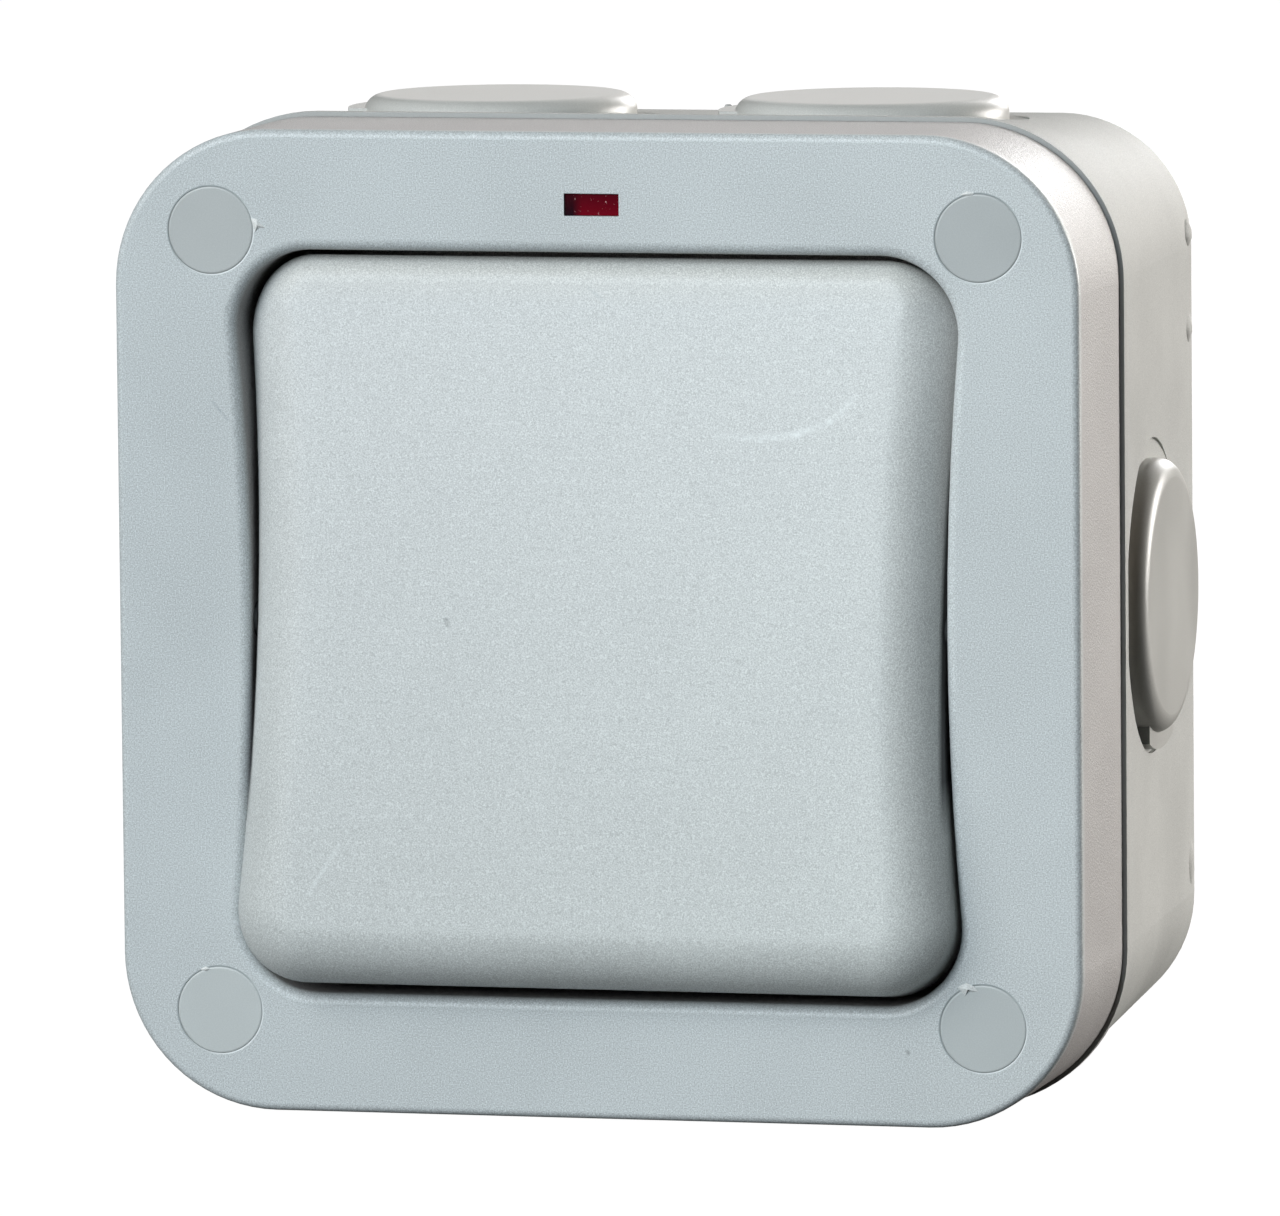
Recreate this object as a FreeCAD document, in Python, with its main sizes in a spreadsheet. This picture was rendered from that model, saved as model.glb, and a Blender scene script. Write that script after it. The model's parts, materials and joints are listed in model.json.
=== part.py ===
"""Outdoor weatherproof light switch, surface mounted.

Millimetres. X runs to the right as the user sees the switch, Z up, and Y into the wall.
The origin is the centre of the face that lies on the wall, so the front face is at
Y = -total_depth. Sketches on the XZ plane look out of the wall: their offset is the
distance from the wall towards the user, called the height of a plane below.
"""
import FreeCAD, Part
import math
import os
import re
import Sketcher
from FreeCAD import Placement, Rotation, Vector

SIZES = {
    # Overall form

    "face_width": 88,  # width and height of the front cover
    "face_corner": 14,  # corner radius of the cover, seen from the front
    "total_depth": 58,  # wall face to front face
    "cover_depth": 16.8,  # depth of the front cover
    "joint_gap": 0.2,  # gap between cover and box, set by the gasket
    "rear_inset": 2.1,  # how far each side of the box has drawn in at the wall
    "rear_corner": 12,  # corner radius of the box at the wall
    "pillar_radius": 4.6,  # screw pillars in cover and box

    # Back box

    "rim_proud": 0.4,  # how far the rim of the box stands out past the cover
    "rim_height": 1.2,  # depth of that rim
    "box_inset": 0.1,  # side of the box just behind the rim, in from the cover's side
    "rim_wall": 3.0,  # wall of the box at its rim, measured from the cover's side
    "box_wall": 2.6,  # wall of the box at the back
    "box_floor": 2.5,  # back wall of the box
    "entry_setback": 34.8,  # front face to the centre line of the conduit entries
    "entry_pitch": 34.7,  # spacing of the two top entries
    "entry_recess": 1.4,  # seat of the entry plugs, in from the cover's side
    "entry_boss": 3.2,  # length of the entry bosses, in from that seat
    "entry_flat_radius": 14.3,  # flat seat round each entry
    "entry_radius": 10.1,  # entry for 20 mm conduit
    "wall_hole_radius": 2.3,  # holes for the wall screws
    "wall_hole_inset_x": 14,  # wall screws, in from the left and right of the face
    "wall_hole_inset_z": 19,  # wall screws, in from its top and bottom
    "wall_boss_radius": 5,  # bosses round the wall screw holes
    "wall_boss_height": 2,  # height of those bosses over the floor
    "drain_radius": 3,  # thin spot to knock out as a drain, in the bottom wall
    "drain_setback": 7,  # wall to the middle of that thin spot
    "drain_skin": 1.2,  # skin left at the drain
    "rear_entry_radius": 10.2,  # ring of the knock-out in the back wall
    "rear_entry_line": 0.8,  # width of that ring
    "rear_entry_cut": 1.5,  # depth of that ring

    # Gasket, inserts and cover screws

    "groove_inset": 0.9,  # outer side of the gasket, in from the cover's side
    "gasket_width": 1.4,  # width of the gasket
    "groove_cut": 1.2,  # depth of the gasket groove in the rim
    "insert_radius": 2.7,  # brass inserts
    "insert_length": 8,  # length of the inserts
    "screw_radius": 1.75,  # cover screws, nominal 3.5 mm
    "screw_clearance": 0.15,  # radial clearance of the screws in the cover
    "screw_tail": 1.0,  # how far the screws reach past the inserts
    "tip_room": 2.0,  # hole beyond the tips of those screws
    "head_radius": 3.2,  # heads of the cover screws
    "head_height": 2.4,  # height of those heads
    "head_seat": 6.5,  # front face to the seat of those heads
    "head_clearance": 0.2,  # radial clearance round those heads
    "slot_width": 1.0,  # arms of the cross in the screw heads
    "slot_length": 3.8,  # length of those arms
    "slot_cut": 1.2,  # depth of the cross
    "blade_width": 0.66,  # straight slots in the heads of the clamp screws

    # Front cover

    "cover_wall": 2.6,  # side walls of the cover
    "cover_plate": 3.0,  # front wall of the cover
    "cover_edge": 0.7,  # rounding of the cover's front edge
    "cap_radius": 3.97,  # screw caps
    "cap_land": 0.97,  # face left between a cap's seat and the corner of the opening
    "cap_clearance": 0.08,  # radial clearance round the caps
    "cap_height": 1.5,  # thickness of the caps
    "cap_edge": 0.25,  # rounding of the caps

    # Rocker well and rocker

    "side_border": 12.2,  # face left beside the rocker opening, at its waist
    "end_border": 10.7,  # face left over and under the opening
    "well_corner": 7.0,  # corner radius of the opening
    "well_side_radius": 292,  # radius of the hollow sides of the opening
    "well_wall": 1.8,  # wall round the rocker well
    "well_depth": 13.6,  # front face to the floor of the well
    "well_floor": 2.0,  # thickness of the floor of the well
    "well_edge": 1.0,  # rounding of the opening's edge
    "well_window_radius": 12,  # hole in the floor for the rocker's stem
    "rocker_side_gap": 0.3,  # rocker to the side of the opening
    "rocker_end_gap": 0.9,  # rocker to the top and bottom of the opening
    "corner_ease": 0.4,  # corner radius of the rocker, less than that of the opening
    "rocker_proud": 1.8,  # how far the rocker stands out when level
    "rocker_depth": 9.0,  # depth of the rocker's skirt
    "rocker_edge": 3.4,  # rounding of the rocker's front edge
    "rocker_wall": 2.2,  # side walls of the rocker
    "rocker_plate": 2.4,  # front wall of the rocker
    "pivot_setback": 2.8,  # front face to the rocker's axis
    "rocker_tilt": 8,  # turn of the rocker from level to either stop
    "trunnion_radius": 1.6,  # pins at the rocker's sides
    "trunnion_length": 4.0,  # length of those pins
    "running_clearance": 0.05,  # radial clearance of every pivot
    "bearing_length": 5.2,  # depth of the bearing bosses, out from the opening
    "bearing_width": 7.0,  # width of those bosses
    "bearing_height": 5.0,  # bearing boss behind the rocker's axis
    "bearing_bore": 4.6,  # depth of the bore, out from the opening
    "rib_width": 1.6,  # ribs inside the rocker
    "rib_spread_x": 12,  # upright ribs, from the middle
    "rib_spread_z": 15,  # level ribs, from the middle
    "rib_reach": 0.5,  # end of the ribs, behind the rocker's axis
    "stem_radius": 4.6,  # stem on the rocker's back
    "stem_reach": 11.6,  # end of the stem, behind the rocker's axis
    "fork_cut": 4.2,  # depth of the fork in the stem's end
    "fork_clearance": 0.1,  # dolly's nose to each side of the fork

    # Rubber boot and its ring

    "boot_flange_radius": 18,  # flange of the boot
    "boot_flange": 1.2,  # thickness of the flange
    "boot_wall": 1.1,  # wall of the boot
    "boot_foot_radius": 11.2,  # boot at the flange
    "boot_fold_radius": 9.4,  # boot at its fold
    "boot_fold_height": 5.6,  # fold of the boot over the floor of the well
    "boot_top_radius": 6.2,  # collar of the boot, outside
    "boot_top_setback": 3.0,  # front face to the collar's end
    "boot_collar": 2.0,  # height of the collar
    "boot_bore": 5.0,  # bore of the collar
    "ring_inner_radius": 12.4,  # retaining ring, inside
    "ring_height": 1.6,  # thickness of the retaining ring
    "peg_pitch": 22,  # spacing of the pegs that hold the ring, both ways
    "peg_radius": 1.1,  # those pegs
    "peg_stand": 0.6,  # how far the pegs stand out of the ring

    # Indicator

    "window_width": 5.0,  # indicator window, across
    "window_height": 2.0,  # indicator window, up
    "window_drop": 6.4,  # middle of the window under the top of the face
    "lens_clearance": 0.05,  # lens to its window, all round
    "lens_recess": 0.2,  # lens behind the front face
    "lens_lip": 0.8,  # lip that holds the lens behind the front wall
    "lamp_radius": 2.0,  # neon lamp
    "lamp_length": 11.0,  # length of the lamp
    "lamp_setback": 7.6,  # front face to the lamp's axis
    "lamp_drop": 5.8,  # lamp's axis under the top of the face
    "clip_spread": 4.2,  # lamp clips, from the middle
    "clip_width": 1.2,  # thickness of the lamp clips
    "clip_reach": 9.4,  # front face to the end of the clips

    # Switch mechanism

    "mech_width": 34,  # mechanism housing, across
    "mech_height": 30,  # mechanism housing, up
    "mech_depth": 20.6,  # mechanism housing, front to back
    "mech_gap": 0.2,  # mechanism housing to the floor of the well
    "mech_wall": 2.0,  # walls of the housing
    "mech_floor": 2.4,  # back wall of the housing
    "lug_reach": 4,  # housing's side to the middle of its fixing lugs
    "lug_radius": 3.4,  # lugs and the bosses they sit on
    "lug_height": 3.0,  # thickness of the lugs
    "boss_height": 5.0,  # bosses behind the floor of the well
    "mech_screw_radius": 1.45,  # screws of the mechanism
    "mech_head_radius": 2.8,  # heads of those screws
    "mech_head_height": 2.0,  # height of those heads
    "mech_screw_grip": 4.6,  # how far those screws bite into the bosses
    "dolly_setback": 19.0,  # front face to the dolly's axis
    "dolly_width": 10,  # body of the dolly, across
    "dolly_height": 9,  # body of the dolly, up
    "dolly_front": 2.0,  # body of the dolly, ahead of its axis
    "dolly_back": 6.2,  # body of the dolly, behind its axis
    "dolly_turn": 14.03,  # turn of the dolly from level to either stop
    "dolly_pin_radius": 1.5,  # pins of the dolly
    "dolly_pin_spare": 0.2,  # end play of those pins
    "dolly_pin_grip": 1.2,  # length of those pins in the housing
    "nose_reach": 6.0,  # middle of the dolly's nose, ahead of its axis
    "nose_radius": 2.0,  # tip of the nose
    "nose_width": 6.0,  # nose, across
    "nose_neck": 2.4,  # neck of the nose, up
    "barrel_radius": 2.0,  # bore in the dolly for spring and plunger
    "barrel_end": 1.2,  # front end of that bore, behind the dolly's axis
    "plunger_radius": 1.9,  # plunger
    "plunger_start": 3.8,  # front end of the plunger, behind the dolly's axis
    "plunger_tip": 9.25,  # tip of the plunger, behind the dolly's axis
    "plunger_tip_radius": 1.5,  # round end of the plunger
    "plunger_shoulder": 6.9,  # end of the plunger's thick part, behind the dolly's axis
    "spring_radius": 1.5,  # middle of the spring's wire
    "spring_wire": 0.22,  # radius of the spring's wire
    "spring_turns": 3.5,  # turns of the spring
    "seesaw_setback": 28.8,  # front face to the see-saw contact's axis
    "seesaw_turn": 8,  # turn of the see-saw from level to either stop
    "seesaw_width": 5.2,  # see-saw contact, across
    "seesaw_length": 17.4,  # see-saw contact, up
    "seesaw_thick": 0.9,  # see-saw contact
    "seesaw_pin_radius": 0.8,  # pin of the see-saw
    "rivet_radius": 1.2,  # contact rivets
    "rivet_height": 0.6,  # height of the rivets
    "rivet_spread": 7.5,  # rivets, from the middle
    "bridge_spread": 3.4,  # ears that carry the see-saw, from the middle
    "brass_thick": 0.8,  # brass strip
    "bridge_height": 5.0,  # bridge and its ears, up
    "ear_rise": 1.7,  # end of the ears, ahead of the see-saw's axis
    "terminal_pitch": 9.5,  # spacing of the terminals
    "terminal_width": 9.0,  # terminal blocks, across
    "terminal_height": 6.4,  # terminal blocks, up
    "terminal_depth": 6.0,  # terminal blocks, front to back
    "wire_radius": 1.7,  # wire holes in the terminals
    "pin_end": 0.3,  # pin ends past the ears that carry them
    "clamp_radius": 1.3,  # clamp screws of the terminals
    "clamp_head_radius": 2.0,  # heads of the clamp screws
    "clamp_head_height": 1.6,  # height of those heads
    "clamp_stand": 1.4,  # clamp screw heads over the blocks
    "clamp_bite": 0.4,  # clamp screws into the wire holes
    "strip_width": 4.0,  # strips of the terminals, across
    "strip_clearance": 0.1,  # strips in their slots, all round
    "pad_drop": 3.0,  # see-saw contact's axis to the strips that carry the fixed contacts
    "pad_length": 3.8,  # those strips, up
    "divider_width": 1.2,  # ribs between the terminals
    "divider_reach": 5.0,  # height of those ribs
    "divider_length": 12.0,  # length of those ribs

    # Entry plugs

    "plug_radius": 12.45,  # domed head of the plugs
    "plug_head": 2.4,  # height of the head over its seat
    "plug_edge": 1.7,  # rounding of the head
    "plug_shank_radius": 10.0,  # shank of the plugs
    "plug_shank_length": 8.0,  # length of the shank
    "plug_wall": 1.6,  # wall of the shank
    "plug_crown": 0.8,  # hollow of the plug, into the head
    "plug_bead_radius": 10.4,  # bead that snaps behind the boss
    "plug_bead_setback": 3.5,  # seat to the bead
    "plug_bead_length": 1.2,  # length of the bead
    "lug_tab_radius": 13.9,  # prising tab of the plugs
    "lug_tab_width": 10.0,  # width of the tab
    "lug_tab_height": 1.2,  # height of the tab

    # Earth terminal

    "earth_gap": 3.3,  # earth block to the bottom wall of the box
    "earth_width": 10,  # earth block, across
    "earth_height": 6,  # earth block, up
    "earth_depth": 7,  # earth block, front to back
    "earth_wire_radius": 2.0,  # wire hole of the earth block
    "earth_pedestal": 3.0,  # pedestal under the earth block
    "earth_clip": 1.2,  # clips at the earth block's ends
}

WORKED_OUT = {
    # Rocker opening, and the cover screws on the diagonals of its corners

    "well_waist": "face_width / 2 - side_border",
    "well_half_height": "face_width / 2 - end_border",
    "well_sagitta": "well_side_radius - sqrt(well_side_radius ^ 2 - well_half_height ^ 2)",
    "corner_centre": "(well_waist + well_sagitta + well_half_height) / 2 - well_corner",
    "corner_to_cap": "well_corner + cap_land + cap_clearance + cap_radius",
    "fixing_pitch": "2 * corner_centre + sqrt(2) * corner_to_cap",
    "rocker_corner": "well_corner - corner_ease",

    # Places in from the sides of the face

    "window_rise": "face_width / 2 - window_drop",
    "lamp_rise": "face_width / 2 - lamp_drop",
    "entry_seat": "face_width / 2 - entry_recess",
    "entry_inner": "entry_seat - entry_boss",
    "wall_hole_pitch_x": "face_width - 2 * wall_hole_inset_x",
    "wall_hole_pitch_z": "face_width - 2 * wall_hole_inset_z",
    "earth_drop": "face_width / 2 - rear_inset - box_wall - earth_gap - earth_height / 2",

    # Places in the switch mechanism

    "lug_pitch": "mech_width + 2 * lug_reach",
    "pad_setback": "seesaw_setback + pad_drop",
}

doc = FreeCAD.newDocument("WeatherproofSwitch")
sheet = doc.addObject("Spreadsheet::Sheet", "Sizes")
probe = doc.addObject("App::FeaturePython", "Probe")
probe.addProperty("App::PropertyFloat", "value")
pieces = []

for row, (name, value) in enumerate(SIZES.items(), 1):
    sheet.set("A%d" % row, name)
    sheet.set("B%d" % row, str(value))
    sheet.setAlias("B%d" % row, name)

TO_THE_RIGHT = Rotation(Vector(0, 1, 0), 90)
TO_THE_USER = Rotation(Vector(1, 0, 0), 90)
UPWARDS = Rotation()



def bind(thing, prop, formula):
    """Tie a property to a formula in size names."""
    thing.setExpression(prop, spelled_out(formula))


def spelled_out(formula):
    """The same formula in the names of the sheet's cells."""
    return re.sub(r"[a-z]\w+", lambda word: cells_for(word.group()), formula)


def cells_for(word):
    if word in WORKED_OUT:
        return "(%s)" % spelled_out(WORKED_OUT[word])
    return "Sizes." + word if word in SIZES else word


def number(formula):
    """Value of a formula in size names, used for a sketch's first guess."""
    bind(probe, "value", formula)
    probe.recompute()
    return probe.value


doc.recompute()


# Tools for building

def plane_of(body, role):
    for feature in body.Origin.OriginFeatures:
        if feature.Role == role:
            return feature
    raise ValueError(role)


def new_body(label):
    body = doc.addObject("PartDesign::Body", label)
    body.Label = label
    pieces.append(body)
    return body


def new_sketch(body, name, role, height):
    """Sketch on one of the body's own planes, raised along that plane's normal."""
    sketch = body.newObject("Sketcher::SketchObject", name)
    sketch.AttachmentSupport = (plane_of(body, role), [""])
    sketch.MapMode = "FlatFace"
    bind(sketch, "AttachmentOffset.Base.z", height)
    return sketch


def constrain(sketch, kind, name, formula, *where):
    """Dimensional constraint, named and tied to a formula."""
    index = sketch.addConstraint(Sketcher.Constraint(kind, *where, number(formula)))
    sketch.renameConstraint(index, name)
    bind(sketch, "Constraints." + name, formula)


def draw_circle(sketch, name, radius, across="0", up="0"):
    centre = Vector(number(across), number(up), 0)
    circle = sketch.addGeometry(Part.Circle(centre, Vector(0, 0, 1), number(radius)))
    constrain(sketch, "Radius", name + "_radius", radius, circle)
    place_point(sketch, name, circle, 3, across, up)


def place_point(sketch, name, geometry, point, across, up):
    """Fix a point of the sketch at a place given by two formulas."""
    for direction, formula in (("X", across), ("Y", up)):
        if formula == "0":
            axis = -2 if direction == "X" else -1
            sketch.addConstraint(Sketcher.Constraint("PointOnObject", geometry, point, axis))
        else:
            where = (-1, 1, geometry, point)
            constrain(sketch, "Distance" + direction, name + "_" + direction, formula, *where)


def draw_rectangle(sketch, name, left, right, low, high):
    """Rectangle between two pairs of formulas."""
    x0, x1, y0, y1 = number(left), number(right), number(low), number(high)
    corners = [Vector(x0, y0, 0), Vector(x1, y0, 0), Vector(x1, y1, 0), Vector(x0, y1, 0)]
    first = len(sketch.Geometry)
    for index in range(4):
        sketch.addGeometry(Part.LineSegment(corners[index], corners[(index + 1) % 4]))
    for index in range(4):
        following = first + (index + 1) % 4
        sketch.addConstraint(Sketcher.Constraint("Coincident", first + index, 2, following, 1))
    for index in range(4):
        kind = "Vertical" if index % 2 else "Horizontal"
        sketch.addConstraint(Sketcher.Constraint(kind, first + index))
    constrain(sketch, "DistanceX", name + "_left", left, -1, 1, first, 1)
    constrain(sketch, "DistanceX", name + "_right", right, -1, 1, first + 1, 2)
    constrain(sketch, "DistanceY", name + "_low", low, -1, 1, first, 1)
    constrain(sketch, "DistanceY", name + "_high", high, -1, 1, first + 1, 2)


def draw_polygon(sketch, name, corners):
    """Closed outline of straight lines through corners given by pairs of formulas."""
    first = len(sketch.Geometry)
    points = [Vector(number(across), number(up), 0) for across, up in corners]
    count = len(points)
    for index in range(count):
        sketch.addGeometry(Part.LineSegment(points[index], points[(index + 1) % count]))
    for index in range(count):
        following = first + (index + 1) % count
        sketch.addConstraint(Sketcher.Constraint("Coincident", first + index, 2, following, 1))
    for index, (across, up) in enumerate(corners):
        place_point(sketch, "%s_%d" % (name, index), first + index, 1, across, up)


def join_smoothly(sketch, order):
    """Make each outline piece run into the next with no corner."""
    for index, piece in enumerate(order):
        following = order[(index + 1) % len(order)]
        sketch.addConstraint(Sketcher.Constraint("Tangent", piece, 2, following, 1))


def draw_rounded_square(sketch, name, half, corner):
    """Square about the origin with round corners: half its width, and its corner radius."""
    h, r = number(half), number(corner)
    first = len(sketch.Geometry)
    for index in range(4):
        turn = Rotation(Vector(0, 0, 1), 90 * index)
        start = turn.multVec(Vector(h, r - h, 0))
        end = turn.multVec(Vector(h, h - r, 0))
        centre = turn.multVec(Vector(h - r, h - r, 0))
        angle = index * math.pi / 2
        arc = Part.Circle(centre, Vector(0, 0, 1), r)
        sketch.addGeometry(Part.LineSegment(start, end))
        sketch.addGeometry(Part.ArcOfCircle(arc, angle, angle + math.pi / 2))
    join_smoothly(sketch, [first + index for index in range(8)])
    for index in range(4):
        kind = "Horizontal" if index % 2 else "Vertical"
        sketch.addConstraint(Sketcher.Constraint(kind, first + 2 * index))
    for index in (3, 5, 7):
        sketch.addConstraint(Sketcher.Constraint("Equal", first + 1, first + index))
    constrain(sketch, "Radius", name + "_corner", corner, first + 1)
    centre = "%s - (%s)" % (half, corner)
    constrain(sketch, "DistanceX", name + "_right", centre, -1, 1, first + 1, 3)
    constrain(sketch, "DistanceY", name + "_top", centre, -1, 1, first + 1, 3)
    sketch.addConstraint(Sketcher.Constraint("Symmetric", first + 1, 3, first + 5, 3, -1, 1))


def draw_waisted(sketch, name, waist, half_height, corner, side):
    """Outline with straight top and bottom, hollow sides of radius side, and round corners."""
    w, h, r, s = number(waist), number(half_height), number(corner), number(side)
    rise = h - r
    reach = w + s - math.sqrt((s + r) ** 2 - rise ** 2)
    lean = math.asin(rise / (s + r))
    up = Vector(0, 0, 1)
    quarter = math.pi / 2
    first = len(sketch.Geometry)

    def corner_arc(x, y, start, end):
        sketch.addGeometry(Part.ArcOfCircle(Part.Circle(Vector(x, y, 0), up, r), start, end))

    def side_arc(x, start, end):
        sketch.addGeometry(Part.ArcOfCircle(Part.Circle(Vector(x, 0, 0), up, s), start, end))

    corner_arc(reach, rise, -lean, quarter)
    sketch.addGeometry(Part.LineSegment(Vector(reach, h, 0), Vector(-reach, h, 0)))
    corner_arc(-reach, rise, quarter, 2 * quarter + lean)
    side_arc(-w - s, -lean, lean)
    corner_arc(-reach, -rise, 2 * quarter - lean, 3 * quarter)
    sketch.addGeometry(Part.LineSegment(Vector(-reach, -h, 0), Vector(reach, -h, 0)))
    corner_arc(reach, -rise, -quarter, lean)
    side_arc(w + s, math.pi - lean, math.pi + lean)
    arcs = [first, first + 2, first + 4, first + 6]
    top, left, bottom, right = first + 1, first + 3, first + 5, first + 7
    # The hollow sides run against the sense of the outline, so their ends are swapped.
    for one, end, other, start in ((arcs[0], 2, top, 1), (top, 2, arcs[1], 1), (arcs[1], 2, left, 2),
                                   (left, 1, arcs[2], 1), (arcs[2], 2, bottom, 1), (bottom, 2, arcs[3], 1),
                                   (arcs[3], 2, right, 2), (right, 1, arcs[0], 1)):
        sketch.addConstraint(Sketcher.Constraint("Tangent", one, end, other, start))
    sketch.addConstraint(Sketcher.Constraint("Horizontal", top))
    sketch.addConstraint(Sketcher.Constraint("Horizontal", bottom))
    for arc in arcs[1:]:
        sketch.addConstraint(Sketcher.Constraint("Equal", arcs[0], arc))
    sketch.addConstraint(Sketcher.Constraint("Equal", left, right))
    constrain(sketch, "Radius", name + "_corner", corner, arcs[0])
    constrain(sketch, "Radius", name + "_side", side, right)
    for arc, sign in ((right, ""), (left, "-")):
        sketch.addConstraint(Sketcher.Constraint("PointOnObject", arc, 3, -1))
        place = "%s(%s + %s)" % (sign, waist, side)
        constrain(sketch, "DistanceX", name + ("_left" if sign else "_right"), place, -1, 1, arc, 3)
    constrain(sketch, "DistanceY", name + "_top", half_height, -1, 1, top, 1)
    constrain(sketch, "DistanceY", name + "_bottom", "-(%s)" % half_height, -1, 1, bottom, 1)


def pad(body, sketch, length, backwards=False):
    """Add material along the sketch's normal."""
    feature = body.newObject("PartDesign::Pad", sketch.Name + "Pad")
    feature.Profile = sketch
    bind(feature, "Length", length)
    feature.Reversed = backwards
    return feature


def pocket(body, sketch, length, backwards=False):
    """Cut material against the sketch's normal."""
    feature = body.newObject("PartDesign::Pocket", sketch.Name + "Pocket")
    feature.Profile = sketch
    bind(feature, "Length", length)
    feature.Reversed = backwards
    return feature


def loft(body, kind, front, back):
    feature = body.newObject("PartDesign::" + kind, front.Name + kind)
    feature.Profile = front
    feature.Sections = [back]
    feature.Ruled = True
    return feature


def revolve(body, sketch):
    """Turn a profile about the upright axis of its sketch."""
    feature = body.newObject("PartDesign::Revolution", sketch.Name + "Turned")
    feature.Profile = sketch
    feature.ReferenceAxis = (sketch, ["V_Axis"])
    feature.Angle = 360
    return feature


def round_edges(body, feature, radius, wanted):
    """Round every edge of the feature that passes the test."""
    doc.recompute()
    names = ["Edge%d" % (index + 1) for index, edge in enumerate(feature.Shape.Edges) if wanted(edge)]
    fillet = body.newObject("PartDesign::Fillet", feature.Name + "Rounded")
    fillet.Base = (feature, names)
    bind(fillet, "Radius", radius)
    return fillet


def level(edge, height):
    """True where the whole edge lies on the plane at this height over the wall."""
    box = edge.BoundBox
    return abs(box.YMin + height) < 0.01 and abs(box.YMax + height) < 0.01


def set_place(thing, x, y, z, rotation):
    thing.Placement = Placement(Vector(0, 0, 0), rotation)
    for axis, formula in (("x", x), ("y", y), ("z", z)):
        bind(thing, "Placement.Base." + axis, formula)


def block(name, x, y, z):
    """Box between pairs of formulas along X, Y and Z."""
    thing = doc.addObject("Part::Box", name)
    for prop, axis, (low, high) in (("Length", "x", x), ("Width", "y", y), ("Height", "z", z)):
        bind(thing, prop, "(%s) - (%s)" % (high, low))
        bind(thing, "Placement.Base." + axis, low)
    return thing


def rod(name, radius, length, x, y, z, rotation):
    thing = doc.addObject("Part::Cylinder", name)
    set_place(thing, x, y, z, rotation)
    bind(thing, "Radius", radius)
    bind(thing, "Height", length)
    return thing


def fuse(name, things):
    union = doc.addObject("Part::MultiFuse", name)
    union.Shapes = things
    union.Refine = True
    return union


def cut(name, base, tools):
    difference = doc.addObject("Part::Cut", name)
    difference.Base = base
    difference.Tool = tools[0] if len(tools) == 1 else fuse(name + "Tools", tools)
    return difference


def gather(name, things):
    group = doc.addObject("Part::Compound", name)
    group.Links = things
    return group


def finish(thing, label):
    """Name a finished piece and keep it for the files."""
    thing.Label = label
    pieces.append(thing)
    return thing


def corners_of(pitch_x, pitch_z):
    """The four corners of a rectangle of holes, as pairs of formulas."""
    signs = ((-1, 1), (1, 1), (-1, -1), (1, -1))
    return [("%d * %s / 2" % (a, pitch_x), "%d * %s / 2" % (b, pitch_z)) for a, b in signs]


def both(text, sign):
    """Formula on the positive or the negative side."""
    return text if sign > 0 else "-(%s)" % text


# Heights over the wall that several pieces share

BOX_FRONT = "(total_depth - cover_depth - joint_gap)"
COVER_BACK = "(total_depth - cover_depth)"
HALF_FACE = "face_width / 2"
ENTRY_HEIGHT = "(total_depth - entry_setback)"
WELL_FLOOR_FRONT = "(total_depth - well_depth)"
WELL_FLOOR_BACK = "(total_depth - well_depth - well_floor)"


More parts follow.
